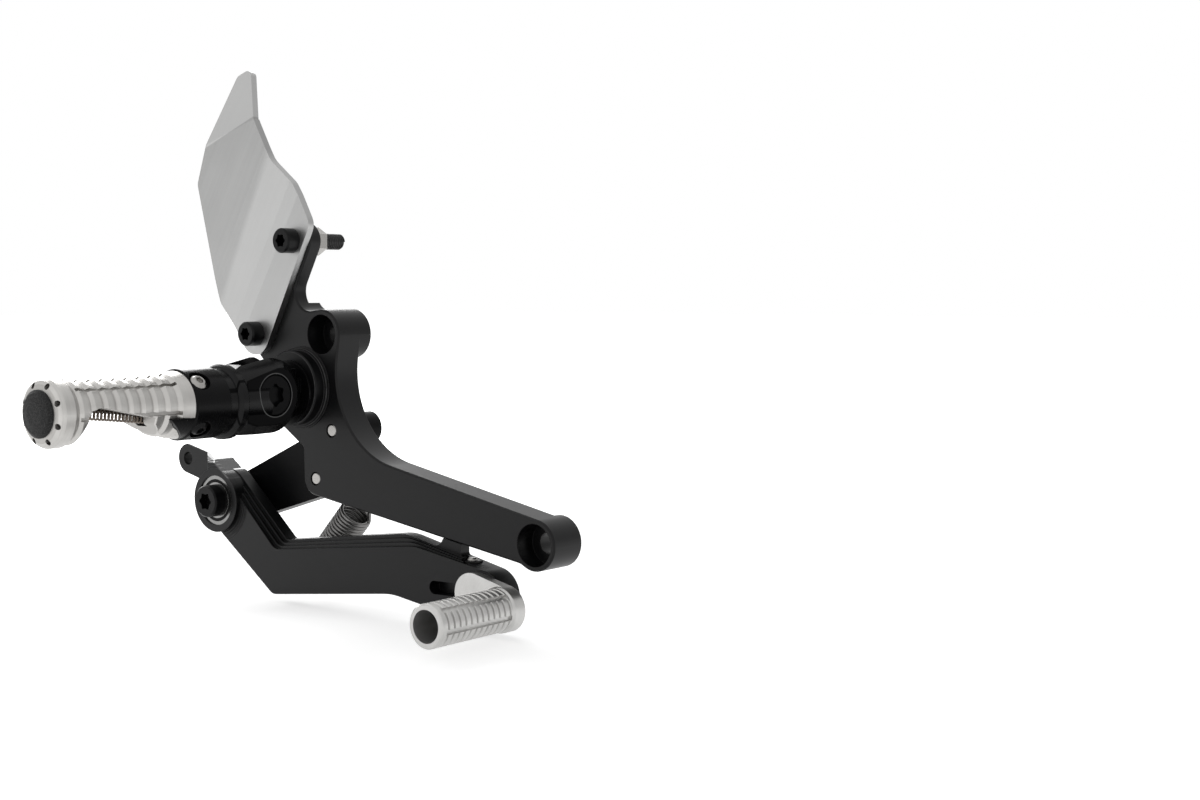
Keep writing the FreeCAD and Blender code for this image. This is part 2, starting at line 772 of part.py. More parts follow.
# Counterbore, nut seat and bore for the fold bolt in the fork's cheeks
def fold_bolt_seats(body):
    centre = (size("pegDrop"), 0)
    terms = (cell("pegDrop"), "0")
    head = sketch_on(body, "YZ_Plane", f"{cell('forkWidth')} / 2")
    add_circle(head, centre, f"{cell('foldHeadRadius')} + {cell('seatGap')}", terms)
    pocket(body, head, cell("foldHeadHeight"))
    nut = sketch_on(body, "YZ_Plane", f"-{cell('forkWidth')} / 2")
    add_circle(nut, centre, f"{cell('foldHeadRadius')} + {cell('seatGap')}", terms)
    pocket(body, nut, cell("foldNutHeight"), way="along")
    bore = sketch_on(body, "YZ_Plane")
    add_circle(bore, centre, f"{cell('foldBoltRadius')} + {cell('seatGap')}", terms)
    pocket(body, bore)


# Bolt and nut the peg folds about
def fold_fixings():
    x, z = spot("pivot")
    half = size("forkWidth") / 2
    reach = 2 * half - size("foldHeadHeight")
    place = Placement(Vector(x + half - size("foldHeadHeight"), -size("pivotOut"), z), FORWARD)
    head = (size("foldHeadRadius"), size("foldHeadHeight"), size("foldBoltRadius"))
    cap_screw("fold_pivot_bolt", place, *head, reach)
    nut = new_body("fold_pivot_nut", Vector(x - half, -size("pivotOut"), z), FORWARD)
    nut_blank(nut, "foldNutRadius", "foldNutHeight", "foldBoltRadius")


# Slanted border between the sleeve's lower tongue and the grip, as (height, distance out)
def tongue_border(slack):
    start = size("sleeveStart") + size("sleeveLength")
    level = slack - size("sleeveTongueDrop")
    low = start - slack
    high = start + slack
    toe = -9.3 - 3.7 * (high + 4.9 - low) / 4.9
    return [(level, low), (level, high + 11), (-9.3, high + 4.9), (toe, low)]


# Plain sleeve between the ring and the grip, with four flat screw seats and a tongue under the grip
def peg_sleeve():
    body = new_body("peg_sleeve", peg_base(), OUTWARD)
    start = size("sleeveStart")
    end = start + size("sleeveLength")
    outer = size("sleeveRadius")
    inner = size("spigotRadius") + size("seatGap")
    edge = size("edgeBreak")
    turned(
        body,
        [
            (inner, start),
            (outer - edge, start),
            (outer, start + edge),
            (outer, end - edge),
            (outer - edge, end),
            (outer - 1, end + 11.5),
            (inner, end + 11.5),
        ],
    )
    beyond = sketch_on(body, "YZ_Plane")
    border = tongue_border(0)
    add_polygon(beyond, [(16, end), *border, (-16, end), (-16, end + 12), (16, end + 12)])
    pocket(body, beyond)
    tail = sketch_on(body, "XY_Plane")
    add_circle(tail, (0, -size("tailDrop")), cell("tailHoleRadius"), ("0", f"-{cell('tailDrop')}"))
    pocket(body, tail)
    turn = Placement(Vector(), Rotation(Vector(0, 1, 0), 45))
    seats = sketch_on(body, "XZ_Plane")
    add_circle(seats, (0, size("gripScrewOut")), f"{cell('gripScrewHeadRadius')} + 0.8")
    seat = pocket(body, seats, cell("sleeveRadius"), way="along")
    lift = turn.Rotation.multVec(Vector(0, 0, size("gripScrewSeat")))
    seats.AttachmentOffset = Placement(lift, turn.Rotation)
    ring_pattern(body, [seat], 4)
    shanks = sketch_on(body, "XZ_Plane")
    add_circle(shanks, (0, size("gripScrewOut")), f"{cell('gripScrewShank')} + {cell('seatGap')}")
    quarter_turns(body, pocket(body, shanks))
    return body


# Four button screws that clamp the sleeve, on the diagonals
def grip_screws():
    names = {45: "grip_screw_front_top", 135: "grip_screw_rear_top"}
    names.update({225: "grip_screw_rear_low", 315: "grip_screw_front_low"})
    base = peg_base() + Vector(0, -size("gripScrewOut"), 0)
    seat = size("gripScrewSeat")
    for angle, label in names.items():
        direction = Vector(math.cos(math.radians(angle)), 0, math.sin(math.radians(angle)))
        turn = Rotation(Vector(0, 1, 0), 90 - angle)
        body = new_body(label, base + direction * seat, turn)
        head = size("gripScrewHeadRadius")
        rise = size("gripScrewHeadHeight")
        shank = size("gripScrewShank")
        reach = seat - size("spigotRadius") + 2.5
        dome = [(0, -reach), (shank, -reach), (shank, 0), (head, 0), (head * 0.93, rise * 0.5)]
        turned(body, dome + [(head * 0.6, rise), (0, rise)])
        hex_recess(body, rise, head * 0.45, rise * 0.6)


# Ribbed foot grip: a waisted tube with an end flange, rows of notches, drain holes and a scooped underside
def peg_grip():
    body = new_body("peg_grip", peg_base(), OUTWARD)
    start = size("sleeveStart") + size("sleeveLength")
    end = start + size("gripLength")
    inner = size("spigotRadius") + size("seatGap")
    turned(body, grip_profile(start, end, inner))
    notch_rows(body, start, end)
    near = size("spigotEnd")
    scoop = sketch_on(body, "YZ_Plane")
    ceiling = [(0.5, end - 14.4), (1.4, end - 17), (1.5, end - 20), (-0.7, end - 30), (-3.4, near + 10.6)]
    ramp = [(-5.9, near + 10.2), (-9.0, near + 6.4), (-12, near + 2.6), (-16, near + 1)]
    add_polygon(scoop, ceiling + ramp + [(-16, end - 10), (-8, end - 11), (-2, end - 13.6)])
    pocket(body, scoop)
    channel = sketch_on(body, "YZ_Plane")
    add_polygon(channel, [(1.6, end - 16), (-1.6, near + 5.2), (-7, near + 5.2), (-7, end - 16)])
    pocket(body, channel, cell("channelWidth"), way="both")
    under = sketch_on(body, "YZ_Plane")
    add_polygon(under, tongue_border(size("seatGap")))
    pocket(body, under)
    tail = sketch_on(body, "XY_Plane", cell("sleeveStart"))
    add_circle(tail, (0, -size("tailDrop")), cell("tailHoleRadius"), ("0", f"-{cell('tailDrop')}"))
    pocket(body, tail, f"{cell('spigotEnd')} - {cell('sleeveStart')} + 6", way="along")
    drain = sketch_on(body, "XY_Plane", str(end))
    ring = (size("capRadius") + size("gripEndRadius")) / 2
    turn = math.radians(22.5)
    add_circle(drain, (ring * math.cos(turn), ring * math.sin(turn)), cell("drainHoleRadius"))
    hole = pocket(body, drain, "5")
    ring_pattern(body, [hole], 8)
    return body


# Lengthwise slots that cut the ribs into rows: three over the top and one low on each side
def notch_rows(body, start, end):
    reach = f"{end - start - 9.5} - {cell('ribPitch')}"
    for degrees, count, turn in ((47, 3, 86), (-11, 2, 202)):
        row = sketch_on(body, "XY_Plane", str(end - 9.5))
        add_radial_box(row, degrees, size("notchFloor"), size("gripRootRadius") + 1, size("notchWidth"))
        ring_pattern(body, [pocket(body, row, reach)], count, turn)


# Half profile of the grip, ribs included, as (radius, distance out)
def grip_profile(start, end, inner):
    root = size("gripRootRadius")
    waist = size("gripWaistRadius")
    rim = size("gripEndRadius")
    pitch = size("ribPitch")
    gap = size("ribGap")

    def outer(along):
        part = (along - start) / (end - start)
        slope = max(0, 1 - part / 0.34)
        flare = max(0, (part - 0.68) / 0.22)
        return waist + (root - waist) * slope * slope + (rim - waist) * min(1, flare) ** 2

    points = [(inner, start), (outer(start), start)]
    along = start + pitch
    while along < end - 8:
        points += [(outer(along), along), (outer(along + gap) - size("ribDepth"), along + gap)]
        along += pitch
    points += [(rim, end - 6.5), (rim, end - 2.6), (rim - 0.8, end - 1.2), (rim - 2.4, end - 0.3)]
    points += [(size("capRadius"), end), (0, end), (0, size("spigotEnd") + size("bodyGap"))]
    points.append((inner, size("spigotEnd") + size("bodyGap")))
    return points


# Domed cap on the grip's outer end
def peg_end_cap():
    end = size("sleeveStart") + size("sleeveLength") + size("gripLength")
    body = new_body("peg_end_cap", peg_base() + Vector(0, -end, 0), OUTWARD)
    radius = size("capRadius")
    dome = size("capDome")
    points = [(0, 0), (radius, 0), (radius, dome * 0.3), (radius * 0.86, dome * 0.72)]
    turned(body, points + [(radius * 0.5, dome * 0.95), (0, dome)])


# Return spring of the peg: a coil in the scoop and a straight tail through the fork
def peg_spring():
    end = size("sleeveStart") + size("sleeveLength") + size("gripLength")
    base = peg_base()
    wire = size("pegSpringWire") / 2
    far = Vector(base.x, base.y - (end - 19), base.z - 1.2)
    near = Vector(base.x, base.y - size("spigotEnd") - 7, base.z - 4.2)
    kink = Vector(base.x, base.y - size("spigotEnd") - 4.6, base.z - size("tailDrop") - 0.6)
    under = size("pivotZ") + size("anchorDrop") - size("anchorRadius") - wire - 0.03
    anchor = Vector(base.x, base.y - size("anchorOut") + 0.8, under)
    pieces = [
        straight(far, near, size("pegSpringRadius")),
        straight(near + Vector(0, -0.5, 0.1), kink, wire),
        straight(kink, anchor, wire),
        straight(far + Vector(0, -3.2, -1.8), far, wire),
    ]
    fuse = doc.addObject("Part::MultiFuse", "peg_spring")
    fuse.Label = "peg_spring"
    NODES.append("peg_spring")
    fuse.Shapes = pieces


# A round bar between two points
def straight(start, end, radius):
    bar = doc.addObject("Part::Cylinder", "Bar")
    bar.Radius = radius
    bar.Height = (end - start).Length
    bar.Placement = Placement(start, Rotation(Vector(0, 0, 1), end - start))
    return bar


# Carrier behind the plate that holds the pedal's pivot
def pedal_carrier():
    body = new_body("pedal_carrier")
    back = f"({cell('bossDepth')} - {cell('plateThickness')})"
    hull = sketch_on(body, "XZ_Plane", back)
    wheels = [
        (*spot("pedalPivot"), size("carrierEndRadius"), 1),
        (*spot("lowerPin"), size("lowerPinRadius"), 1),
        (*spot("upperPin"), size("pinBossRadius"), 1),
    ]
    add_belt(hull, wheels)
    pad(body, hull, cell("carrierThickness"))
    boss = sketch_on(body, "XZ_Plane", back)
    add_spot_circle(boss, "upperPin", cell("pinBossRadius"))
    pad(body, boss, f"{cell('carrierThickness')} + {cell('pinBossRise')}")
    spacer = sketch_on(body, "XZ_Plane", f"{cell('hubOut')} - {cell('hubWidth')} - {cell('bodyGap')}")
    add_spot_circle(spacer, "pedalPivot", cell("spacerRadius"))
    pad(body, spacer, f"{cell('hubOut')} - {cell('hubWidth')} - {cell('bodyGap')} - {back}")
    nose = sketch_on(body, "XZ_Plane", bearing_back())
    add_spot_circle(nose, "pedalPivot", "Sizes.bearingBore + Sizes.bearingRingWall - 0.2")
    pad(body, nose, f"{bearing_back()} - {back}")
    bolt = sketch_on(body, "XZ_Plane")
    add_spot_circle(bolt, "pedalPivot", f"{cell('pedalBoltRadius')} + {cell('seatGap')}")
    for pin in ("upperPin", "lowerPin"):
        add_spot_circle(bolt, pin, f"{cell('carrierScrewRadius')} + {cell('seatGap')}")
    pocket(body, bolt)
    seat = f"{cell('carrierHeadRadius')} + {cell('bodyGap')}"
    for pin, rise in (("upperPin", cell("pinBossRise")), ("lowerPin", "0")):
        rear = f"{back} - {cell('carrierThickness')} - {rise}"
        head = sketch_on(body, "XZ_Plane", rear)
        add_spot_circle(head, pin, seat)
        pocket(body, head, f"{cell('carrierHeadHeight')} + 0.2", way="along")
    return body


# Expression for the pedal bearings' rear face, as a distance out
def bearing_back():
    return f"{cell('hubOut')} - {cell('bearingSetback')} - 2 * {cell('bearingWidth')}"


# Screws that hold the carrier to the plate, put in from behind
def carrier_screws():
    rear = size("bossDepth") - size("plateThickness") - size("carrierThickness")
    seats = {"upperPin": rear - size("pinBossRise"), "lowerPin": rear}
    labels = {"upperPin": "carrier_screw_upper", "lowerPin": "carrier_screw_lower"}
    for pin, face in seats.items():
        x, z = spot(pin)
        seat = face + size("carrierHeadHeight") + 0.2
        head = (size("carrierHeadRadius"), size("carrierHeadHeight"), size("carrierScrewRadius"))
        place = Placement(Vector(x, -seat, z), INWARD)
        cap_screw(labels[pin], place, *head, size("bossDepth") - seat - 0.2, lobed=False)


# Bolt and inner sleeve of the pedal's pivot
def pedal_pivot():
    x, z = spot("pedalPivot")
    front = size("hubOut") - size("bearingSetback")
    back = front - 2 * size("bearingWidth")
    rear = size("bossDepth") - size("plateThickness") - size("carrierThickness")
    head = (size("pedalHeadRadius"), size("pedalHeadHeight"), size("pedalBoltRadius"))
    place = Placement(Vector(x, -front, z), OUTWARD)
    cap_screw("pedal_pivot_bolt", place, *head, front - rear - 0.5)
    sleeve = new_body("pivot_sleeve", Vector(x, -back, z), OUTWARD)
    sketch = sketch_on(sleeve, "XY_Plane")
    add_circle(sketch, (0, 0), cell("bearingBore"))
    add_circle(sketch, (0, 0), f"{cell('pedalBoltRadius')} + {cell('seatGap')}")
    pad(sleeve, sketch, f"2 * {cell('bearingWidth')}", way="along")


# Two ball bearings in the pedal's hub, each of an outer ring, a seal and an inner ring
def bearings():
    x, z = spot("pedalPivot")
    wall = size("bearingRingWall")
    inner = size("bearingBore")
    outer = size("bearingRadius")
    rings = {
        "outer_ring": (outer, outer - wall, 0),
        "seal": (outer - wall, inner + wall + size("runGap"), 0.25),
        "inner_ring": (inner + wall, inner + size("seatGap"), 0),
    }
    for place, index in (("rear", 2), ("front", 1)):
        out = size("hubOut") - size("bearingSetback") - index * size("bearingWidth")
        for name, (big, small, inset) in rings.items():
            body = new_body(f"{place}_bearing_{name}", Vector(x, -out, z), OUTWARD)
            width = size("bearingWidth")
            turned(body, [(small, inset), (big, inset), (big, width - inset), (small, width - inset)])


# Wheels of the pedal lever's outline, its top edge raised by one terrace step
def lever_wheels(rise):
    hub = spot("pedalPivot")
    half = size("leverNeck") / 2
    lean = math.radians(51)
    shift = (rise / 2 * math.cos(lean), rise / 2 * math.sin(lean))
    return [
        (hub[0] + shift[0], hub[1] + shift[1], half + rise / 2, 1),
        (-24.7, -102.3, 5.0, 1),
        (41.15, -130.3, 30.0, -1),
        (*spot("toeEnd"), size("toeEndRadius"), 1),
        (size("leverCrestX") - rise * 2.5, -100.5, size("leverCrestRadius") + rise, 1),
        (-22.6 + rise * 0.4, -82.5, 6.0 - rise, -1),
    ]


# Height of the lever's highest top edge at one place in front of the notch
def lever_top(x):
    leave, arrive = belt_segments(lever_wheels(size("terraceRise")))
    start = leave[3]
    end = arrive[4]
    return start[1] + (x - start[0]) * (end[1] - start[1]) / (end[0] - start[0])


# Brake pedal: hub, terraced lever, push-rod lug and stop post in one piece
def brake_pedal():
    body = new_body("brake_pedal")
    hub_face = cell("hubOut")
    hub_shoulder(body)
    hub = sketch_on(body, "XZ_Plane", hub_face)
    add_spot_circle(hub, "pedalPivot", cell("hubRadius"))
    pad(body, hub, cell("hubWidth"))
    count = int(size("terraceCount"))
    for step in range(count):
        drop = step * size("terraceDrop")
        layer = sketch_on(body, "XZ_Plane", f"{hub_face} - {cell('leverStep')} - {drop}")
        add_belt(layer, lever_wheels(size("terraceRise") * step / (count - 1)))
        pad(body, layer, f"{cell('leverThickness')} - {drop}")
    pushrod_lug(body)
    stop_post(body)
    pedal_holes(body)
    return body


# Shoulder that joins the push-rod lug to the hub, its top and its rear side sloping down to the hub's face
def hub_shoulder(body):
    x, z = spot("pedalPivot")
    face = size("hubOut")
    lug_face = face - size("hubWidth") + size("pushrodThickness")
    outline = sketch_on(body, "XZ_Plane", cell("hubOut"))
    low_wheels = [(x - 7.5, z + 3, 5.0, 1), (x, z, size("hubRadius") - 0.5, 1)]
    add_belt(outline, [(x - 10.0, z + 17.6, 2.0, 1), *low_wheels, (x - 2.4, z + 15.6, 1.6, 1)])
    pad(body, outline, cell("hubWidth"))
    top_slope = sketch_on(body, "YZ_Plane")
    back = 1 - lug_face
    front = -face - 1
    add_polygon(top_slope, [(back, z + 20.8), (front, z + 15.2), (front, z + 26), (back, z + 26)])
    pocket(body, top_slope)
    side_slope = sketch_on(body, "XY_Plane")
    add_polygon(side_slope, [(x - 11.7, -lug_face), (x - 3.2, front), (x - 20, front), (x - 20, -lug_face)])
    pocket(body, side_slope)


# Lug for the brake cylinder's push-rod
def pushrod_lug(body):
    x, z = spot("pedalPivot")
    lug = sketch_on(body, "XZ_Plane", f"{cell('hubOut')} - {cell('hubWidth')} + {cell('pushrodThickness')}")
    tip = (*spot("pushrod"), size("pushrodRadius"), 1)
    add_belt(lug, [tip, (x - 7.2, z + 10.3, 5.0, 1), (x - 2.4, z + 15.6, 1.6, 1)])
    pad(body, lug, cell("pushrodThickness"))


# Post on the lever that meets the bracket arm when the foot is off the pedal
def stop_post(body):
    gap = size("bodyGap")
    left = size("stopPostX") - size("stopPostWidth") / 2
    right = left + size("stopPostWidth")
    tip = 0.3
    near = left - 9
    far = right + 3.5
    outline = [
        (near, lever_top(near) - 3, tip, 1),
        (far, lever_top(far) - 3, tip, 1),
        (far, lever_top(far) - 0.4, tip, 1),
        (right + 1.5, lever_top(right + 1.5) + 1.5, 1.5, -1),
        (right - tip, arm_underside(right) - gap - tip, tip, 1),
        (left + tip, arm_underside(left) - gap - tip, tip, 1),
        (left - 4, lever_top(left - 4) + 4, 4.0, -1),
        (near, lever_top(near) - 0.4, tip, 1),
    ]
    post = sketch_on(body, "XZ_Plane", f"{cell('hubOut')} - {cell('leverStep')} - {cell('postInset')}")
    add_belt(post, outline)
    pad(body, post, f"{cell('leverThickness')} - {cell('postInset')}")


# Bores and slots of the pedal
def pedal_holes(body):
    bore = sketch_on(body, "XZ_Plane")
    add_spot_circle(bore, "pedalPivot", f"{cell('bearingRadius')} + {cell('seatGap')} / 2")
    add_spot_circle(bore, "pushrod", cell("pushrodHoleRadius"))
    add_spot_circle(bore, "toeScrew", f"{cell('toeScrewRadius')} + {cell('seatGap')}")
    pocket(body, bore)
    slot = sketch_on(body, "XZ_Plane", f"{cell('hubOut')} - {cell('leverStep')}")
    x, z = spot("toeScrew")
    width = size("toeScrewRadius") + size("seatGap")
    add_belt(slot, [(x - size("toeSlotReach"), z - 0.3, width, 1), (x, z, width, 1)])
    pocket(body, slot, cell("toeSlotDepth"))
    stub = sketch_on(body, "XZ_Plane", lever_back())
    add_spot_circle(stub, "springFoot", f"{cell('stubRadius')} + {cell('seatGap')}")
    pocket(body, stub, f"{cell('stubDepth')} + 0.5", way="along")
    seat = sketch_on(body, "XY_Plane", str(stop_seat()))
    out = size("stopScrewOut")
    add_circle(seat, (size("stopScrewX"), -out), f"{cell('stopNutRadius')} + {cell('bodyGap')}")
    pocket(body, seat, "6", way="along")
    tapped = sketch_on(body, "XY_Plane", str(stop_seat()))
    add_circle(tapped, (size("stopScrewX"), -out), f"{cell('stopScrewRadius')} + {cell('seatGap')}")
    pocket(body, tapped, "7")


# Expression for the lever's rear face, as a distance out
def lever_back():
    return f"{cell('hubOut')} - {cell('leverStep')} - {cell('leverThickness')}"


# Height of the flat seat under the stop screw's lock nut
def stop_seat():
    return lever_top(size("stopScrewX") + size("stopNutRadius")) - 1.6


# Adjusting screw and lock nut beside the stop post
def stop_screw():
    x = size("stopScrewX")
    seat = stop_seat()
    reach = 6.5
    tip = seat + size("stopNutHeight") + 1.0
    body = new_body("stop_screw", Vector(x, -size("stopScrewOut"), seat - reach))
    radius = size("stopScrewRadius")
    length = tip - seat + reach
    turned(body, [(0, 0), (radius, 0), (radius, length - 0.5), (radius - 0.5, length), (0, length)])
    nut = new_body("stop_lock_nut", Vector(x, -size("stopScrewOut"), seat))
    nut_blank(nut, "stopNutRadius", "stopNutHeight", "stopScrewRadius")


# Toe peg: a teardrop foot on the lever and a tube with six rows of ribs
def toe_peg():
    x, z = spot("toePeg")
    back = size("hubOut") - size("leverStep")
    body = new_body("toe_peg", Vector(x, -back, z), OUTWARD)
    foot = size("toeBaseThickness")
    outer = size("toePegRadius")
    end = foot + size("toePegLength")
    pitch = size("toeRibPitch")
    crest = outer - 0.5
    root = crest - size("toeRibDepth")
    points = [(0, 0), (outer, 0), (outer, foot + 1.2), (crest, foot + 2.2)]
    along = foot + pitch
    while along < end - pitch:
        points += [(crest, along), (root, along + 0.35), (root, along + 0.8), (crest, along + 1.15)]
        along += pitch
    points += [(crest, end - 0.6), (crest - 0.6, end), (size("toePegBore"), end)]
    points += [(size("toePegBore"), foot + 1), (0, foot + 1)]
    turned(body, points)
    gap = sketch_on(body, "XY_Plane", str(end - 2.4))
    add_radial_box(gap, 48, root - 0.2, outer + 1, size("toeRowGap"))
    rows = pocket(body, gap, str(end - 2.4 - foot - 2.6))
    ring_pattern(body, [rows], int(size("toeRowCount")))
    screw = (size("toeScrewX") - x, size("toeScrewZ") - z)
    pear = sketch_on(body, "XY_Plane")
    add_belt(pear, [(*screw, size("toeScrewPadRadius"), 1), (0, 0, outer, 1)])
    pad(body, pear, cell("toeBaseThickness"), way="along")
    hole = sketch_on(body, "XY_Plane")
    add_circle(hole, screw, f"{cell('toeScrewRadius')} + {cell('seatGap')}")
    pocket(body, hole, f"{cell('toeBaseThickness')} - 0.8", way="along")


# Screw that clamps the toe peg through the slot
def toe_peg_screw():
    x, z = spot("toeScrew")
    back = size("hubOut") - size("leverStep") - size("leverThickness")
    head = (size("toeScrewHeadRadius"), size("toeScrewHeadHeight"), size("toeScrewRadius"))
    reach = size("leverThickness") + size("toeBaseThickness") - 1
    cap_screw("toe_peg_screw", Placement(Vector(x, -back, z), INWARD), *head, reach, lobed=False)


# A grooved post for a spring hook, standing inboard from its seat
def hook_post(label, x, seat, z):
    body = new_body(label, Vector(x, -seat, z), INWARD)
    stub = size("stubRadius")
    post = size("postRadius")
    neck = post - 0.8
    half = size("springWire") / 2 + 0.3
    loop = seat - size("springOut")
    points = [(0, -size("stubDepth")), (stub, -size("stubDepth")), (stub, 0), (post, 0), (post, loop - half - 0.4)]
    points += [(neck, loop - half), (neck, loop + half), (post, loop + half + 0.4), (post, loop + half + 1.8)]
    turned(body, points + [(0, loop + half + 1.8)])


# Tension spring between the plate and the pedal, drawn as a plain coil with two hooks
def return_spring():
    hook_post("spring_top_post", size("springTopX"), size("bossDepth") - size("plateThickness"), size("springTopZ"))
    back = size("hubOut") - size("leverStep") - size("leverThickness")
    hook_post("spring_foot_post", size("springFootX"), back, size("springFootZ"))
    out = size("springOut")
    top = Vector(size("springTopX"), -out, size("springTopZ"))
    foot = Vector(size("springFootX"), -out, size("springFootZ"))
    run = foot - top
    body = new_body("return_spring", top, Rotation(Vector(0, 1, 0), math.degrees(math.atan2(run.x, run.z))))
    wire = size("springWire")
    hook = size("springHook")
    length = run.Length
    coil = sketch_on(body, "XY_Plane", cell("springHook"))
    add_circle(coil, (0, 0), cell("springRadius"))
    add_circle(coil, (0, 0), f"{cell('springRadius')} - {cell('springWire')}")
    pad(body, coil, f"{length} - 2 * {cell('springHook')}", way="along")
    eye = size("postRadius") - 0.6
    for centre, side in ((0, 1), (length, -1)):
        loop = sketch_on(body, "XZ_Plane")
        add_circle(loop, (0, centre), str(eye))
        add_circle(loop, (0, centre), f"{eye} + {cell('springWire')}")
        pad(body, loop, cell("springWire"), way="both")
        stem = sketch_on(body, "XZ_Plane")
        near = centre + side * (eye + wire / 2)
        turn = centre + side * (hook + wire * 0.7)
        low, high = sorted((near, turn))
        add_box(stem, (-wire / 2, low), (wire / 2, high))
        pad(body, stem, cell("springWire"), way="both")
        bar = sketch_on(body, "XZ_Plane")
        low, high = sorted((centre + side * hook, turn))
        reach = size("springRadius") - wire / 2
        add_box(bar, (-reach, low), (reach, high))
        pad(body, bar, cell("springWire"), way="both")


# Stops the build if a feature failed or a node's shape is unsound, then writes one file per node
def write_nodes():
    doc.recompute()
    for item in doc.Objects:
        if "Invalid" in item.State or "Error" in item.State:
            raise RuntimeError(f"{item.Label} did not build")
    os.makedirs("parts", exist_ok=True)
    for label in NODES:
        node = doc.getObjectsByLabel(label)[0]
        shape = node.Shape
        if shape.isNull() or not shape.isValid() or len(shape.Solids) != 1:
            raise RuntimeError(f"{label} has no sound single solid")
        shape.exportStep(f"parts/{label}.step")
        print(label, round(shape.Volume, 1))


BUILDERS = (
    main_bracket,
    heel_guard,
    guard_fixings,
    adjuster_disc,
    peg_joint,
    joint_pieces,
    peg_fork,
    fold_fixings,
    peg_sleeve,
    grip_screws,
    peg_grip,
    peg_end_cap,
    peg_spring,
    pedal_carrier,
    carrier_screws,
    pedal_pivot,
    bearings,
    brake_pedal,
    stop_screw,
    toe_peg,
    toe_peg_screw,
    return_spring,
)
for builder in BUILDERS:
    builder()
    print(builder.__name__)
write_nodes()
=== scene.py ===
import bpy
import bmesh
import json
import math
from mathutils import Matrix, Vector


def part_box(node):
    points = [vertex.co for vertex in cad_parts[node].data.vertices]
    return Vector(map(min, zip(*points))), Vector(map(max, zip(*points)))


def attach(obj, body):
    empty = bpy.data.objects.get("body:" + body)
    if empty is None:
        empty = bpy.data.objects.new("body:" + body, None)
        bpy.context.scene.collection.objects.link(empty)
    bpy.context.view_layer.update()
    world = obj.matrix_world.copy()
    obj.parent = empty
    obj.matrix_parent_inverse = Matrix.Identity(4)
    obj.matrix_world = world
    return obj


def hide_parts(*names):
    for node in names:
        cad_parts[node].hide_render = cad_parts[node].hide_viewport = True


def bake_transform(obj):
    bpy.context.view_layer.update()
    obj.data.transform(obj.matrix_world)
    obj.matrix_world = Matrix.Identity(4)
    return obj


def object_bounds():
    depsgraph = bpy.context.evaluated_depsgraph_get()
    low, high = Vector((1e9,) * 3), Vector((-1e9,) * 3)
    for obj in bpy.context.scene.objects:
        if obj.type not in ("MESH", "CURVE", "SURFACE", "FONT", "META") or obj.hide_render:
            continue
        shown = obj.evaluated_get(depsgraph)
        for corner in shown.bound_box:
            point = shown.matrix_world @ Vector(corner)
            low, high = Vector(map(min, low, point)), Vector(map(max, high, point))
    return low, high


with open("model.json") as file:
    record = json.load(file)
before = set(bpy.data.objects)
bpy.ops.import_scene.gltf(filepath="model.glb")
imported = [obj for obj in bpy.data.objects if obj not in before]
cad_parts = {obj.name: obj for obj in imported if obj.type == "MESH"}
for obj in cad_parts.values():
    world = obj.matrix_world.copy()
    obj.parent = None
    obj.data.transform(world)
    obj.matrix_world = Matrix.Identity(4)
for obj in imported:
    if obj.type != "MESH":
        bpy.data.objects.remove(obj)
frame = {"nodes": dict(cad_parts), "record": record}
cadBox = [list(corner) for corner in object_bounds()]
nodes = frame["nodes"]
slots = {part["node"]: part["material_slot"] for part in frame["record"]["subparts"]}
mm = 0.001

# points on the axes that several pieces share, in millimetres
pegAxis = (-11.5, 0.0, -25.3)
foldPivotY = -43.0
pedalPivot = (-58.8, 0.0, -70.8)
toePegAxis = (101.0, 0.0, -99.0)
upperFrameBolt = (0.0, 0.0, 0.0)
lowerFrameBolt = (110.3, 0.0, -75.4)


def middle(node):
    low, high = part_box(node)
    return (low + high) / 2


# Shader helpers

# One socket that takes part in sums
class Wire:
    def __init__(self, tree, socket):
        self.tree = tree
        self.socket = socket

    def calc(self, kind, *terms):
        node = self.tree.nodes.new("ShaderNodeMath")
        node.operation = kind
        for entry, term in zip(node.inputs, (self, *terms)):
            if isinstance(term, Wire):
                self.tree.links.new(term.socket, entry)
            else:
                entry.default_value = term
        return Wire(self.tree, node.outputs[0])

    def __add__(self, other):
        return self.calc("ADD", other)

    def __sub__(self, other):
        return self.calc("SUBTRACT", other)

    def __rsub__(self, other):
        return self * -1 + other

    def __mul__(self, other):
        return self.calc("MULTIPLY", other)

    def __truediv__(self, other):
        return self.calc("DIVIDE", other)

    __radd__ = __add__
    __rmul__ = __mul__

    # 1 under the limit and 0 above it, over a soft edge
    def below(self, limit, soft):
        return ((limit - self) / soft + 0.5).calc("MAXIMUM", 0.0).calc("MINIMUM", 1.0)

    # 1 from one limit to the other, with soft edges
    def between(self, low, high, soft):
        return self.below(high, soft) * (1 - self.below(low, soft))


# Adds up patterns by their shares, over a steady base
def mix(patterns, shares, base=0.0):
    return sum((patterns[name] * share for name, share in shares.items()), base)


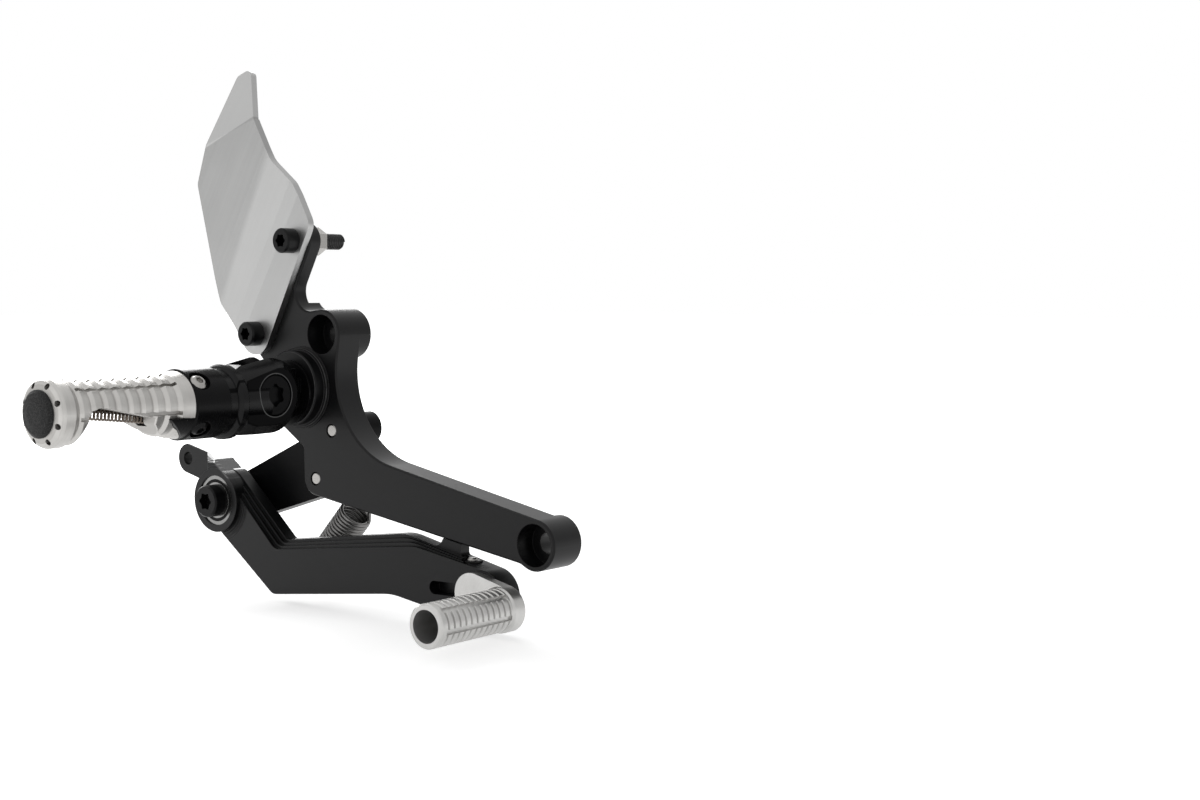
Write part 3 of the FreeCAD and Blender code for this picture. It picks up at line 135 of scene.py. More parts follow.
# One material: a shader and whatever feeds it
class Finish:
    def __init__(self, name, **fixed):
        self.material = bpy.data.materials.new(name)
        self.material.use_nodes = True
        self.tree = self.material.node_tree
        self.shader = self.tree.nodes["Principled BSDF"]
        for socket, value in fixed.items():
            self.shader.inputs[socket.replace("_", " ")].default_value = value
        self.place = self.node("ShaderNodeTexCoord", out="Object")

    def node(self, kind, settings=None, sockets=None, out=0):
        made = self.tree.nodes.new(kind)
        for name, value in (settings or {}).items():
            setattr(made, name, value)
        for name, value in (sockets or {}).items():
            if isinstance(value, Wire):
                self.tree.links.new(value.socket, made.inputs[name])
            else:
                made.inputs[name].default_value = value
        return Wire(self.tree, made.outputs[out])

    def feed(self, socket, wire):
        self.tree.links.new(wire.socket, self.shader.inputs[socket])

    # object space seen from a centre, turned, and measured in the given sizes
    def space(self, centre=(0, 0, 0), turn=(0, 0, 0), sizes=(1, 1, 1)):
        inputs = {"Vector": self.place, "Location": centre, "Rotation": turn, "Scale": sizes}
        return self.node("ShaderNodeMapping", {"vector_type": "TEXTURE"}, inputs)

    def noise(self, space, detail=2.0, rough=0.5):
        inputs = {"Vector": space, "Scale": 1.0, "Detail": detail, "Roughness": rough}
        return self.node("ShaderNodeTexNoise", None, inputs)

    # even noise with grains of one size, in millimetres
    def grain(self, size, detail=3.0):
        return self.noise(self.space(sizes=(size * mm,) * 3), detail)

    # plainer noise, for the finest grains
    def speck(self, size):
        return self.grain(size, 2.0)

    # noise drawn out along X, in millimetres, and tilted about Y by some degrees
    def streaks(self, length, width, tilt, detail=3.0, rough=0.5):
        turn = (0, math.radians(tilt), 0)
        return self.noise(self.space(turn=turn, sizes=(length * mm, width * mm, width * mm)), detail, rough)

    def axes(self, space):
        parts = self.node("ShaderNodeSeparateXYZ", None, {"Vector": space}, "X")
        outs = parts.socket.node.outputs
        return [Wire(self.tree, outs[axis]) for axis in ("X", "Y", "Z")]

    # distance from an axis through the centre, and height along it
    def round(self, centre, axis="Y"):
        x, y, z = self.axes(self.space(centre))
        along = {"X": x, "Y": y, "Z": z}[axis]
        a, b = {"X": (y, z), "Y": (x, z), "Z": (x, y)}[axis]
        return (a * a + b * b).calc("SQRT"), along

    # fine cutting lines left by a lathe: rings on end faces, hoops on round ones
    def latheLines(self, radius, along, pitch):
        inputs = {"W": (radius + along) / (pitch * mm), "Scale": 1.0, "Detail": 2.0, "Roughness": 0.6}
        return self.node("ShaderNodeTexNoise", {"noise_dimensions": "1D"}, inputs)

    # a colour between two others
    def tint(self, low, high, amount):
        mixed = self.node("ShaderNodeMix", {"data_type": "RGBA"}, None, 2)
        node = mixed.socket.node
        self.tree.links.new(amount.socket, node.inputs[0])
        for entry, colour in ((node.inputs[6], low), (node.inputs[7], high)):
            if isinstance(colour, Wire):
                self.tree.links.new(colour.socket, entry)
            else:
                entry.default_value = (*colour, 1)
        return mixed

    # 1 on the left of a line from start to end on the side view, in millimetres, and 0 on its right
    def beyond(self, start, end, soft):
        lean = math.atan2(end[1] - start[1], end[0] - start[0])
        height = self.axes(self.space((start[0] * mm, 0, start[1] * mm), (0, -lean, 0)))[2]
        return 1 - height.below(0.0, soft * mm)

    # 1 in a thin skin about a flat face, given by a point on it in millimetres and its direction
    def skin(self, point, out, depth):
        x, y, z = self.axes(self.space())
        height = x * out[0] + y * out[1] + z * out[2] - Vector(point).dot(Vector(out)) * mm
        return height.between(-depth * mm, depth * mm, depth * mm / 2)

    # small bumps on softly broken edges
    def relief(self, height, depth, edge):
        corner = self.node("ShaderNodeBevel", {"samples": 4}, {"Radius": edge * mm})
        inputs = {"Height": height, "Distance": depth * mm, "Strength": 1.0, "Normal": corner}
        self.feed("Normal", self.node("ShaderNodeBump", None, inputs))

    # the colour that a finish gives its patterns
    def shade(self, spec, patterns):
        return self.tint(spec["dark"], spec["light"], mix(patterns, spec["tone"]))

    # colour, roughness and relief, each from a finish's own shares of its patterns
    def dress(self, spec, patterns, colour):
        self.feed("Base Color", colour)
        self.feed("Roughness", mix(patterns, spec["uneven"], spec["roughness"]))
        self.relief(mix(patterns, spec["heights"]), spec["bump"], spec["edge"])
        return self.material


# Finishes: grain sizes, pitches, radii, bumps and edges are in millimetres. The shares under
# "tone" mix the colour from dark to light, those under "uneven" are added to the roughness, and
# those under "heights" are parts of the bump.

anodised = {
    "dark": (0.0025, 0.0025, 0.0028), "light": (0.006, 0.006, 0.0065), "paintedGlint": (0.18, 0.18, 0.18),
    "specular": {"main_bracket": 0.22, "adjuster_disc": 0.16, "pedal_carrier": 0.07},
    "cloud": 9.0, "speck": 0.22, "streak": {"length": 30.0, "width": 1.5, "tilt": 20.0},
    "tone": {"cloud": 0.5, "streak": 0.5},
    "roughness": 0.31, "uneven": {"cloud": 0.05, "speck": 0.06},
    "heights": {"speck": 0.6, "rings": 1.0, "grooves": 4.0}, "bump": 0.008, "edge": 0.35,
    "seats": {"main_bracket": (upperFrameBolt, lowerFrameBolt), "pedal_carrier": (pedalPivot,)},
    "seatRadius": 8.6, "seatEdge": 0.4, "ringPitch": 0.35,
    "grooves": 4, "groovePitch": 0.65, "grooveEdge": 0.1, "crest": 0.85, "crestEdge": 0.2,
}


# Grooves turned near a disc's rim, and a mask of their crests, which are given a painted highlight
def turnedRim(look, node, radius):
    low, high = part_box(node)
    rim = (high.x - low.x) / 2
    pitch = anodised["groovePitch"] * mm
    wave = ((rim - radius) * (2 * math.pi / pitch)).calc("SINE")
    zone = 1 - radius.below(rim - anodised["grooves"] * pitch, anodised["grooveEdge"] * mm)
    return wave * zone, (1 - wave.below(anodised["crest"], anodised["crestEdge"])) * zone


# Blasted and black anodised plate, with cutter rings in its bolt seats
def platePaint(node):
    look = Finish(node + "Finish", Specular_IOR_Level=anodised["specular"][node])
    patterns = {
        "cloud": look.grain(anodised["cloud"], 4.0),
        "streak": look.streaks(**anodised["streak"]),
        "speck": look.speck(anodised["speck"]),
        "rings": 0.0,
        "grooves": 0.0,
    }
    seats = [Vector(seat) * mm for seat in anodised["seats"].get(node, ())] or [middle(node)]
    for seat in seats:
        radius, along = look.round(seat)
        rings = look.latheLines(radius, along, anodised["ringPitch"])
        bored = radius.below(anodised["seatRadius"] * mm, anodised["seatEdge"] * mm)
        patterns["rings"] = rings * bored + patterns["rings"]
    black = look.shade(anodised, patterns)
    if node == "adjuster_disc":
        patterns["grooves"], crestGlint = turnedRim(look, node, radius)
        # painted highlight: the groove crests are painted lighter, as lines of reflected light
        black = look.tint(black, anodised["paintedGlint"], crestGlint * patterns["streak"])
    return look.dress(anodised, patterns, black)


# the polished faces lie on top, from the push-rod lug to the hub, each a point and a direction
lever = {
    "dark": (0.003, 0.003, 0.0033), "light": (0.007, 0.007, 0.0075), "specular": 0.22,
    "cloud": 12.0, "speck": 0.2, "milled": {"length": 25.0, "width": 0.5, "tilt": 8.0, "detail": 2.0},
    "tone": {"cloud": 0.6, "milled": 0.4},
    "roughness": 0.29, "uneven": {"milled": 0.06, "speck": 0.05},
    "heights": {"speck": 0.4, "milled": 0.5, "rings": 5.0, "bore": 1.0}, "bump": 0.012, "edge": 0.3,
    "hubRings": (13.4, 17.6), "ringPitch": 1.05, "ringEdge": 0.2, "hubFace": -21.6, "faceEdge": 0.3,
    "boreRadius": 13.3, "boreEdge": 0.3, "borePitch": 0.3,
    "polished": [
        ((-72.9, -17.3, -50.8), (0.23, 0, 0.97)),
        ((-63.8, -14.1, -52.7), (0.30, 0, 0.95)),
        ((-58.9, -20.0, -54.9), (0.58, 0, 0.81)),
    ],
    "polishDepth": 0.4, "polishFloor": -61.0, "polishEdge": 0.5, "coatRoughness": 0.22,
}


# Black anodised milled lever: fine cutter lines, rings round the hub and a few polished faces
def leverPaint(node):
    fixed = {"Specular_IOR_Level": lever["specular"], "Coat_Roughness": lever["coatRoughness"]}
    look = Finish(node + "Finish", **fixed)
    radius, along = look.round(Vector(pedalPivot) * mm)
    inner, outer = [r * mm for r in lever["hubRings"]]
    wave = (radius * (2 * math.pi / (lever["ringPitch"] * mm))).calc("SINE")
    face = along.below(lever["hubFace"] * mm, lever["faceEdge"] * mm)
    bored = radius.below(lever["boreRadius"] * mm, lever["boreEdge"] * mm)
    patterns = {
        "cloud": look.grain(lever["cloud"], 4.0),
        "milled": look.streaks(**lever["milled"]),
        "speck": look.speck(lever["speck"]),
        "rings": wave * radius.between(inner, outer, lever["ringEdge"] * mm) * face,
        "bore": look.latheLines(radius, along, lever["borePitch"]) * bored,
    }
    upper = 1 - look.axes(look.space())[2].below(lever["polishFloor"] * mm, lever["polishEdge"] * mm)
    polished = 0.0
    for point, out in lever["polished"]:
        polished = look.skin(point, out, lever["polishDepth"]).calc("MAXIMUM", polished)
    look.feed("Coat Weight", polished * upper)
    return look.dress(lever, patterns, look.shade(lever, patterns))


turnedBlack = {
    "dark": (0.002, 0.002, 0.0022), "light": (0.0045, 0.0045, 0.005), "paintedGlint": (0.16, 0.16, 0.16),
    "specular": 0.10, "cheekSpecular": 0.03, "edgeCoat": 0.3, "coatRoughness": 0.25,
    "cloud": 8.0, "speck": 0.2, "pitch": 0.4,
    "tone": {"cloud": 0.5, "hoops": 0.5},
    "roughness": 0.21, "uneven": {"hoops": 0.06, "cloud": 0.06},
    "heights": {"hoops": 1.0, "speck": 0.5}, "bump": 0.0018, "edge": 0.3,
    "cheekDepth": 0.35, "headRing": (8.35, 8.75), "ringEdge": 0.15, "leastGlint": 0.3,
}


# Black anodised turned piece, semi-gloss, with fine hoops about the peg's axis
def turnedPaint(node):
    fork = node == "peg_fork"
    specular = turnedBlack["cheekSpecular" if fork else "specular"]
    look = Finish(node + "Finish", Specular_IOR_Level=specular, Coat_Roughness=turnedBlack["coatRoughness"])
    radius, along = look.round(Vector(pegAxis) * mm)
    patterns = {
        "hoops": look.latheLines(radius, along, turnedBlack["pitch"]),
        "cloud": look.grain(turnedBlack["cloud"]),
        "speck": look.speck(turnedBlack["speck"]),
    }
    black = look.shade(turnedBlack, patterns)
    if fork:
        # the cheek is flat and dull, its broken edges shine, and a painted highlight rings the bolt's seat
        cheek = look.skin((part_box("fold_pivot_bolt")[1].x / mm, 0, 0), (1, 0, 0), turnedBlack["cheekDepth"])
        look.feed("Coat Weight", (1 - cheek) * turnedBlack["edgeCoat"])
        fromBolt = look.round(middle("fold_pivot_bolt"), "X")[0]
        inner, outer = [r * mm for r in turnedBlack["headRing"]]
        # painted highlight: a bright ring painted round the bolt head's seat
        ring = fromBolt.between(inner, outer, turnedBlack["ringEdge"] * mm)
        glintAmount = patterns["cloud"] + turnedBlack["leastGlint"]
        black = look.tint(black, turnedBlack["paintedGlint"], ring * glintAmount)
    return look.dress(turnedBlack, patterns, black)


# the bends are lines on the side view, x and z in millimetres, and the metal left of them is painted paler, a
# painted sheen for faces that catch more light
sheetMetal = {
    "dark": (0.27, 0.27, 0.268), "light": (0.42, 0.42, 0.417), "paintedSheen": (0.56, 0.56, 0.555),
    "cloud": 25.0, "hair": {"length": 35.0, "width": 0.28, "tilt": -59.0, "rough": 0.6},
    "band": {"length": 160.0, "width": 4.5, "tilt": -59.0},
    "tone": {"hair": 0.40, "band": 0.30, "cloud": 0.30},
    "roughness": 0.30, "uneven": {"hair": 0.10, "band": 0.06},
    "heights": {"hair": 1.0, "band": 0.5}, "bump": 0.010, "edge": 0.35,
    "tipBend": {"start": (-52.6, 77.6), "end": (-33.0, 86.1), "soft": 0.4}, "tipSheenShare": 0.55,
    "sideBend": {"start": (-25.3, 67.6), "end": (-50.5, 18.0), "soft": 2.5}, "sideSheenShare": 0.28,
}


# Brushed plain sheet: the grain runs along the bends, and a painted sheen lightens the bent faces
def sheetPaint(node):
    look = Finish(node + "Finish", Metallic=1.0)
    patterns = {
        "hair": look.streaks(**sheetMetal["hair"]),
        "band": look.streaks(**sheetMetal["band"]),
        "cloud": look.grain(sheetMetal["cloud"]),
    }
    # painted sheen: the tip and the side face are painted paler, as light falls brighter on them
    tipSheen = look.beyond(**sheetMetal["tipBend"]) * sheetMetal["tipSheenShare"]
    side = look.beyond(**sheetMetal["sideBend"]) * sheetMetal["sideSheenShare"]
    colour = look.tint(look.shade(sheetMetal, patterns), sheetMetal["paintedSheen"], tipSheen + side)
    return look.dress(sheetMetal, patterns, colour)


turnedSilver = {
    "dark": (0.37, 0.36, 0.345), "light": (0.62, 0.61, 0.59),
    "cloud": 6.0, "speck": 0.25, "pitch": 0.35,
    "tone": {"hoops": 0.45, "cloud": 0.55}, "notchPaintedShade": 0.6,
    "roughness": 0.31, "uneven": {"hoops": 0.08, "cloud": 0.05, "deep": 0.12},
    "heights": {"hoops": 1.0, "speck": 0.5}, "bump": 0.008, "edge": 0.25,
    "deepRadius": 10.45, "deepEdge": 0.25,
}


# Plain turned grip: cutting hoops, rougher in the notches, whose colour is also darkened by painted shade
def gripPaint(node):
    look = Finish(node + "Finish", Metallic=1.0)
    radius, along = look.round(Vector(pegAxis) * mm)
    patterns = {
        "hoops": look.latheLines(radius, along, turnedSilver["pitch"]),
        "cloud": look.grain(turnedSilver["cloud"]),
        "speck": look.speck(turnedSilver["speck"]),
        "deep": radius.below(turnedSilver["deepRadius"] * mm, turnedSilver["deepEdge"] * mm),
    }
    # painted shade: the colour is darkened in the notches, deeper into the grip
    toneWithNotchShade = mix(patterns, turnedSilver["tone"]) * (1 - patterns["deep"] * turnedSilver["notchPaintedShade"])
    return look.dress(turnedSilver, patterns, look.tint(turnedSilver["dark"], turnedSilver["light"], toneWithNotchShade))


toeSilver = {
    "dark": (0.42, 0.415, 0.405), "light": (0.66, 0.655, 0.64), "bore": (0.55, 0.545, 0.54),
    "cloud": 5.0, "speck": 0.25, "pitch": 0.35,
    "tone": {"hoops": 0.4, "cloud": 0.6},
    "roughness": 0.30, "uneven": {"hoops": 0.06, "cloud": 0.05, "inside": 0.15},
    "heights": {"hoops": 1.0, "speck": 0.5}, "bump": 0.008, "edge": 0.3,
    "boreRadius": 6.15, "boreEdge": 0.1,
}


# Plain machined toe peg, with a duller and more even drilled bore
def toePaint(node):
    look = Finish(node + "Finish", Metallic=1.0)
    radius, along = look.round(Vector(toePegAxis) * mm)
    patterns = {
        "hoops": look.latheLines(radius, along, toeSilver["pitch"]),
        "cloud": look.grain(toeSilver["cloud"]),
        "speck": look.speck(toeSilver["speck"]),
        "inside": radius.below(toeSilver["boreRadius"] * mm, toeSilver["boreEdge"] * mm),
    }
    colour = look.tint(look.shade(toeSilver, patterns), toeSilver["bore"], patterns["inside"])
    return look.dress(toeSilver, patterns, colour)


# what all small pieces share, unless their own finish says otherwise
smallPiece = {
    "cloud": 3.0, "speck": 0.18, "pitch": 0.22,
    "tone": {"hoops": 0.3, "cloud": 0.4, "speck": 0.3}, "uneven": {"hoops": 0.06, "cloud": 0.06},
    "heights": {"hoops": 1.0, "speck": 0.4}, "bump": 0.005, "edge": 0.2, "metal": 1.0, "specular": 0.5,
}
fasteners = {
    "screw_black": {"dark": (0.002, 0.002, 0.0022), "light": (0.006, 0.006, 0.0065), "metal": 0.0,
                    "roughness": 0.27, "specular": 0.15, "edge": 0.25},
    "screw_zinc": {"dark": (0.27, 0.262, 0.25), "light": (0.44, 0.43, 0.415), "roughness": 0.22},
    "bearing_steel": {"dark": (0.14, 0.14, 0.138), "light": (0.30, 0.30, 0.295), "roughness": 0.17},
    "seal_rubber": {"dark": (0.003, 0.003, 0.003), "light": (0.008, 0.008, 0.008), "metal": 0.0,
                    "roughness": 0.50, "specular": 0.15, "edge": 0.1},
    "bush_bronze": {"dark": (0.36, 0.23, 0.10), "light": (0.55, 0.37, 0.18), "roughness": 0.33},
    "cap_plastic": {"dark": (0.005, 0.005, 0.005), "light": (0.034, 0.034, 0.034), "metal": 0.0,
                    "roughness": 0.55, "specular": 0.25, "speck": 0.5, "tone": {"spots": 1.0},
                    "heights": {"speck": 6.0}, "bump": 0.02},
}
capSpots = {"limit": 0.55, "soft": 0.25}
dullHeads = {"fold_pivot_bolt": 0.35, "fold_pivot_nut": 0.35}
axisOf = {
    "fold_pivot_bolt": "X", "fold_pivot_nut": "X", "tongue_bush": "X", "spring_anchor_pin": "X",
    "stop_screw": "Z", "stop_lock_nut": "Z",
}


# Screws, rings, bushes and the cap: lathe lines about each piece's own axis
def fastenerPaint(node, shine=1.0):
    spec = {**smallPiece, **fasteners[slots[node]]}
    specular = spec["specular"] * dullHeads.get(node, shine)
    look = Finish(node + "Finish", Metallic=spec["metal"], Specular_IOR_Level=specular)
    radius, along = look.round(middle(node), axisOf.get(node, "Y"))
    patterns = {
        "hoops": look.latheLines(radius, along, spec["pitch"]),
        "cloud": look.grain(spec["cloud"]),
        "speck": look.speck(spec["speck"]),
    }
    if "spots" in spec["tone"]:
        patterns["spots"] = 1 - patterns["speck"].below(**capSpots)
    return look.dress(spec, patterns, look.shade(spec, patterns))


wires = {
    "returnSpringWire": {"dark": (0.12, 0.118, 0.115), "light": (0.27, 0.265, 0.26), "roughness": 0.32},
    "pegSpringWire": {"dark": (0.05, 0.040, 0.032), "light": (0.20, 0.165, 0.135), "roughness": 0.22},
}
drawnWire = {
    "cloud": 2.5, "scratch": (0.3, 0.3, 1.5), "scratchDepth": 0.004,
    "tone": {"cloud": 0.6, "drawn": 0.4}, "uneven": {"drawn": 0.1},
}


# Drawn spring wire: short scratches and a little heat tint
def wirePaint(name):
    spec = {**drawnWire, **wires[name]}
    look = Finish(name, Metallic=1.0)
    patterns = {
        "cloud": look.grain(spec["cloud"]),
        "drawn": look.noise(look.space(sizes=[size * mm for size in spec["scratch"]])),
    }
    look.feed("Base Color", look.shade(spec, patterns))
    look.feed("Roughness", mix(patterns, spec["uneven"], spec["roughness"]))
    inputs = {"Height": patterns["drawn"], "Distance": spec["scratchDepth"] * mm, "Strength": 1.0}
    look.feed("Normal", look.node("ShaderNodeBump", None, inputs))
    return look.material


paints = {
    "bracket_black": platePaint, "pedal_black": leverPaint, "peg_black": turnedPaint,
    "guard_silver": sheetPaint, "grip_silver": gripPaint, "toe_silver": toePaint,
}
for name, obj in nodes.items():
    if slots[name] == "spring_steel":
        continue
    paint = paints.get(slots[name], fastenerPaint)(name)
    for entry in obj.material_slots:
        entry.material = paint
print("painted", len(nodes), "nodes")


# Springs and threads

# Sweeps a round wire along a path of points and closes both ends
def wireMesh(name, path, radius, sides, paint):
    bm = bmesh.new()
    steps = [(b - a).normalized() for a, b in zip(path, path[1:])]
    tangents = [steps[0]] + [(a + b).normalized() for a, b in zip(steps, steps[1:])] + [steps[-1]]
    start = Matrix.Translation(path[0]) @ tangents[0].to_track_quat("Z", "Y").to_matrix().to_4x4()
    circle = bmesh.ops.create_circle(bm, cap_ends=False, radius=radius, segments=sides, matrix=start)
    edges = list({edge for vert in circle["verts"] for edge in vert.link_edges})
    bmesh.ops.edgeloop_fill(bm, edges=edges)
    for here, there, before, after in zip(path, path[1:], tangents, tangents[1:]):
        grown = bmesh.ops.extrude_edge_only(bm, edges=edges)["geom"]
        ring = [item for item in grown if isinstance(item, bmesh.types.BMVert)]
        lines = [item for item in grown if isinstance(item, bmesh.types.BMEdge)]
        edges = [line for line in lines if all(vert in ring for vert in line.verts)]
        swing = before.rotation_difference(after).to_matrix().to_4x4()
        step = Matrix.Translation(there) @ swing @ Matrix.Translation(-here)
        bmesh.ops.transform(bm, matrix=step, verts=ring)
    bmesh.ops.edgeloop_fill(bm, edges=edges)
    return makePiece(name, bm, paint)


# Turns a finished bmesh into an object at the origin, smooth or faceted
def makePiece(name, bm, paint, smooth=True):
    bmesh.ops.remove_doubles(bm, verts=bm.verts, dist=1e-7)
    bmesh.ops.recalc_face_normals(bm, faces=bm.faces)
    mesh = bpy.data.meshes.new(name)
    bm.to_mesh(mesh)
    bm.free()
    mesh.materials.append(paint)
    for face in mesh.polygons:
        face.use_smooth = smooth
    obj = bpy.data.objects.new(name, mesh)
    bpy.context.scene.collection.objects.link(obj)
    return obj


# Points of a smooth bend between two ends, which leave along their pulls
def curveBetween(start, startPull, end, endPull, count):
    points = []
    for step in range(1, count):
        t = step / count
        points.append(start * (1 - t) ** 3 + (start + startPull) * 3 * t * (1 - t) ** 2
                      + (end - endPull) * 3 * t * t * (1 - t) + end * t ** 3)
    return points


# hooks are the lengths from the posts to the coil, and the eye's arc is in degrees
returnSpring = {
    "top": (12.0, -2.0, -64.0), "foot": (-18.0, -2.0, -96.0), "wire": 1.6, "sides": 12, "outer": 7.2,
    "turns": 12.5, "steps": 26, "topHook": 13.5, "footHook": 9.0, "eye": 3.15, "eyeArc": (55, 270),
    "eyeSteps": 24, "shank": 0.3, "shankPull": 0.35, "coilPull": 5.0, "bendSteps": 12,
}


# Tension spring: an eye round each post and a close coil between them
def buildReturnSpring(spec):
    top, foot = Vector(spec["top"]) * mm, Vector(spec["foot"]) * mm
    ahead = (foot - top).normalized()
    out = Vector((0, 1, 0))
    aside = out.cross(ahead)
    length = (foot - top).length
    eye, reach = spec["eye"] * mm, (spec["outer"] - spec["wire"] / 2) * mm
    topHook, footHook = spec["topHook"] * mm, spec["footHook"] * mm
    coilLength = length - topHook - footHook
    pitch = coilLength / spec["turns"]

    def at(a, b, c):
        return top + ahead * a + aside * b + out * c

    def eyeAndHook(hook):
        first, last = spec["eyeArc"]
        steps = spec["eyeSteps"]
        arc = [math.radians(first + (last - first) * k / steps) for k in range(steps + 1)]
        end = [at(eye * math.cos(t), eye * math.sin(t), 0) for t in arc]
        end.append(at(hook * spec["shank"], -eye, 0))
        slope = (ahead * pitch - out * (2 * math.pi * reach)).normalized()
        leaving = ahead * spec["shankPull"] * hook
        entering = slope * spec["coilPull"] * mm
        return end + curveBetween(end[-1], leaving, at(hook, -reach, 0), entering, spec["bendSteps"])

    coil = []
    count = int(spec["turns"] * spec["steps"])
    for k in range(count + 1):
        angle = math.pi + 2 * math.pi * spec["turns"] * k / count
        coil.append(at(topHook + coilLength * k / count, reach * math.cos(angle), reach * math.sin(angle)))
    centre = (top + foot) / 2
    halfTurn = Matrix.Translation(centre) @ Matrix.Rotation(math.pi, 4, out) @ Matrix.Translation(-centre)
    path = eyeAndHook(topHook) + coil + [halfTurn @ point for point in reversed(eyeAndHook(footHook))]
    paint = wirePaint("returnSpringWire")
    spring = wireMesh("returnSpringCoil", path, spec["wire"] / 2 * mm, spec["sides"], paint)
    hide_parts("return_spring")
    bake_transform(spring)


buildReturnSpring(returnSpring)
print("return spring wound")

# places are distances out from the fold pivot and heights over the peg's axis
pegSpring = {
    "hook": (83.2, -3.0), "far": (80.0, -1.2), "near": (53.0, -4.2), "kink": (50.6, -7.0),
    "radius": 2.2, "wire": 0.9, "sides": 10, "turns": 17, "steps": 18, "pinGap": 0.03,
    "hookPull": 0.4, "coilPull": 1.5, "tailPull": 1.2, "kinkPull": 1.5, "bendSteps": 8,
}


# Fine coil under the grip, with a hook at its outer end and a straight tail to the anchor pin
def buildPegSpring(spec):
    def at(out, height):
        return Vector((pegAxis[0], foldPivotY - out, pegAxis[2] + height)) * mm

    hook, far, near, kink = [at(*spec[name]) for name in ("hook", "far", "near", "kink")]
    along = (near - far).normalized()
    side = Vector((1, 0, 0))
    rise = side.cross(along)
    reach = (spec["radius"] - spec["wire"] / 2) * mm
    length = (near - far).length
    count = spec["turns"] * spec["steps"]
    coil = []
    for k in range(count + 1):
        angle = 2 * math.pi * spec["turns"] * k / count + math.pi
        ring = side * (reach * math.sin(angle)) + rise * (reach * math.cos(angle))
        coil.append(far + along * (length * k / count) + ring)
    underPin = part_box("spring_anchor_pin")[0].z - (spec["wire"] / 2 + spec["pinGap"]) * mm
    anchor = Vector((pegAxis[0] * mm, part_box("peg_spring")[1].y, underPin))
    intoCoil = (coil[1] - coil[0]).normalized() * spec["coilPull"] * mm
    head = curveBetween(hook, (far - hook) * spec["hookPull"], coil[0], intoCoil, spec["bendSteps"])
    outOfCoil = (coil[-1] - coil[-2]).normalized() * spec["tailPull"] * mm
    intoKink = (anchor - kink).normalized() * spec["kinkPull"] * mm
    tail = curveBetween(coil[-1], outOfCoil, kink, intoKink, spec["bendSteps"])
    path = [hook] + head + coil + tail + [kink, anchor]
    spring = wireMesh("pegSpringCoil", path, spec["wire"] / 2 * mm, spec["sides"], wirePaint("pegSpringWire"))
    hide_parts("peg_spring")
    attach(spring, "peg")


buildPegSpring(pegSpring)
print("peg spring wound")

# the thread starts clear of the nut and stops short of the screw's end
guardThread = {
    "radius": 3.0, "sunk": 0.05, "rise": 0.26, "pitch": 1.0, "flank": 0.42, "crest": (0.85, 1.15),
    "start": 0.2, "stop": 0.8, "steps": 28, "shine": 3.0,
}


# Rolled thread on the free end of the upper guard screw
def buildThread(spec):
    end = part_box("guard_screw_upper")[1].y
    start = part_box("guard_nut")[1].y + spec["start"] * mm
    axis = middle("guard_screw_upper")
    pitch = spec["pitch"] * mm
    turns = int((end - spec["stop"] * mm - start) / pitch)
    root, crest = (spec["radius"] - spec["sunk"]) * mm, (spec["radius"] + spec["rise"]) * mm
    flank = pitch * spec["flank"]
    rising, falling = [flank * share for share in spec["crest"]]
    bm = bmesh.new()
    profile = [(root, 0), (crest, rising), (crest, falling), (root, flank * 2)]
    verts = [bm.verts.new((axis.x + r, start + a, axis.z)) for r, a in profile]
    face = bm.faces.new(verts)
    bmesh.ops.spin(bm, geom=[face, *face.edges, *verts], cent=(axis.x, 0, axis.z), axis=(0, 1, 0),
                   angle=2 * math.pi * turns, steps=spec["steps"] * turns,
                   dvec=(0, pitch / spec["steps"], 0), use_duplicate=False)
    paint = fastenerPaint("guard_screw_upper", spec["shine"])
    thread = makePiece("guardScrewThread", bm, paint, smooth=False)
    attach(thread, "bracket")


buildThread(guardThread)
print("thread rolled")


# Studio: the world gives mirrors a dim side, as a dark wall would, and the floor fades to white
# away from its centre. Places and sizes are in metres, and the floor's drop in millimetres.
studio = {
    "lamps": {
        "overheadLamp": {"place": (-0.95, 0.44, 0.62), "energy": 12, "width": 0.9},
        "frontLamp": {"place": (-0.2, -1.3, 0.9), "energy": 1.5, "width": 1.4},
    },
    "aim": (0.0, -0.03, -0.03),
    "worldLight": 0.45,
    "dimSide": (0.74, 0.67),
    "dimFrom": 0.70,
    "dimEdge": 0.5,
    "dimShare": 0.5,
    "floorSize": 6.0,
    "floorCentre": (0.02, -0.02, 0.0),
    "floorGrey": 0.8,
    "floorGlow": 0.60,
    "floorDrop": 3.5,
    "floorFade": (0.25, 0.6),
}


# 1 where the camera looks straight at a surface, and 1 where it sees it mirrored or through glass
def lightRays(tree):
    path = tree.nodes.new("ShaderNodeLightPath")
    rays = ("Is Camera Ray", "Is Glossy Ray", "Is Transmission Ray")
    straight, glossy, clear = [Wire(tree, path.outputs[ray]) for ray in rays]
    return straight, glossy.calc("MAXIMUM", clear)


def buildLamps(spec):
    for name, lamp in spec["lamps"].items():
        data = bpy.data.lights.new(name, "AREA")
        data.energy = lamp["energy"]
        data.size = lamp["width"]
        obj = bpy.data.objects.new(name, data)
        turn = (Vector(lamp["place"]) - Vector(spec["aim"])).to_track_quat("Z", "Y")
        obj.matrix_world = Matrix.Translation(lamp["place"]) @ turn.to_matrix().to_4x4()
        bpy.context.scene.collection.objects.link(obj)


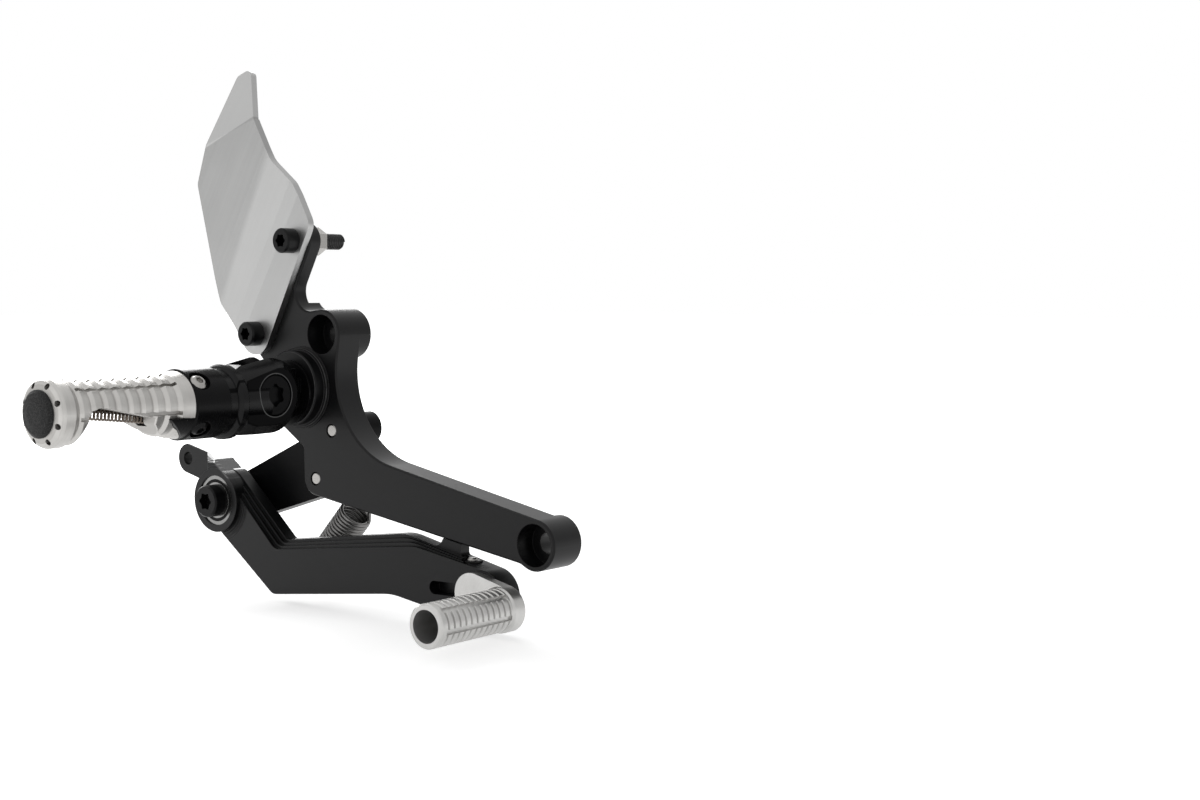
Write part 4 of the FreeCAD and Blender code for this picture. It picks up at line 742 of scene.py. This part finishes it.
def buildWorld(spec):
    world = bpy.data.worlds.new("studio")
    bpy.context.scene.world = world
    world.use_nodes = True
    tree = world.node_tree
    background = tree.nodes["Background"]
    background.inputs["Color"].default_value = (1, 1, 1, 1)
    straight, mirror = lightRays(tree)
    direction = tree.nodes.new("ShaderNodeTexCoord").outputs["Generated"]
    split = tree.nodes.new("ShaderNodeSeparateXYZ")
    tree.links.new(direction, split.inputs[0])
    x, y = Wire(tree, split.outputs["X"]), Wire(tree, split.outputs["Y"])
    towards = x * spec["dimSide"][0] + y * spec["dimSide"][1]
    dim = (1 - towards.below(spec["dimFrom"], spec["dimEdge"])) * spec["dimShare"]
    seen = straight.calc("MAXIMUM", mirror * (1 - dim))
    strength = seen * (1 - spec["worldLight"]) + spec["worldLight"]
    tree.links.new(strength.socket, background.inputs["Strength"])


def buildFloor(spec):
    bm = bmesh.new()
    bmesh.ops.create_grid(bm, x_segments=1, y_segments=1, size=spec["floorSize"])
    bmesh.ops.translate(bm, verts=bm.verts, vec=(0, 0, cadBox[0][2] - spec["floorDrop"] * mm))
    grey = (*[spec["floorGrey"]] * 3, 1)
    look = Finish("floorPaint", Base_Color=grey, Roughness=0.9, Specular_IOR_Level=0.0, Emission_Strength=1.0)
    radius = look.round(spec["floorCentre"], "Z")[0]
    near, far = spec["floorFade"]
    away = 1 - radius.below((near + far) / 2, far - near)
    straight, mirror = lightRays(look.tree)
    glow = straight.calc("MAXIMUM", mirror) * (spec["floorGlow"] + away * (1 - spec["floorGlow"]))
    look.feed("Emission Color", look.tint((0, 0, 0), (1, 1, 1), glow))
    floor = makePiece("floor", bm, look.material)


# the camera stands where the photograph was taken from
camera = {
    "place": (0.5140, -0.5065, 0.0198), "look": (-0.6057, 0.7929, -0.0658), "up": (-0.0399, 0.0523, 0.9978),
    "lens": 52.32, "sensor": 36,
}


def buildCamera(spec):
    look = Vector(spec["look"]).normalized()
    right = look.cross(Vector(spec["up"])).normalized()
    up = right.cross(look)
    turn = Matrix((right, up, -look)).transposed()
    data = bpy.data.cameras.new("photoCamera")
    data.lens = spec["lens"]
    data.sensor_width = spec["sensor"]
    obj = bpy.data.objects.new("photoCamera", data)
    obj.matrix_world = Matrix.Translation(spec["place"]) @ turn.to_4x4()
    bpy.context.scene.collection.objects.link(obj)
    bpy.context.scene.camera = obj


buildLamps(studio)
buildWorld(studio)
buildFloor(studio)
buildCamera(camera)
bpy.context.scene.view_settings.view_transform = "Standard"
print("studio lit")
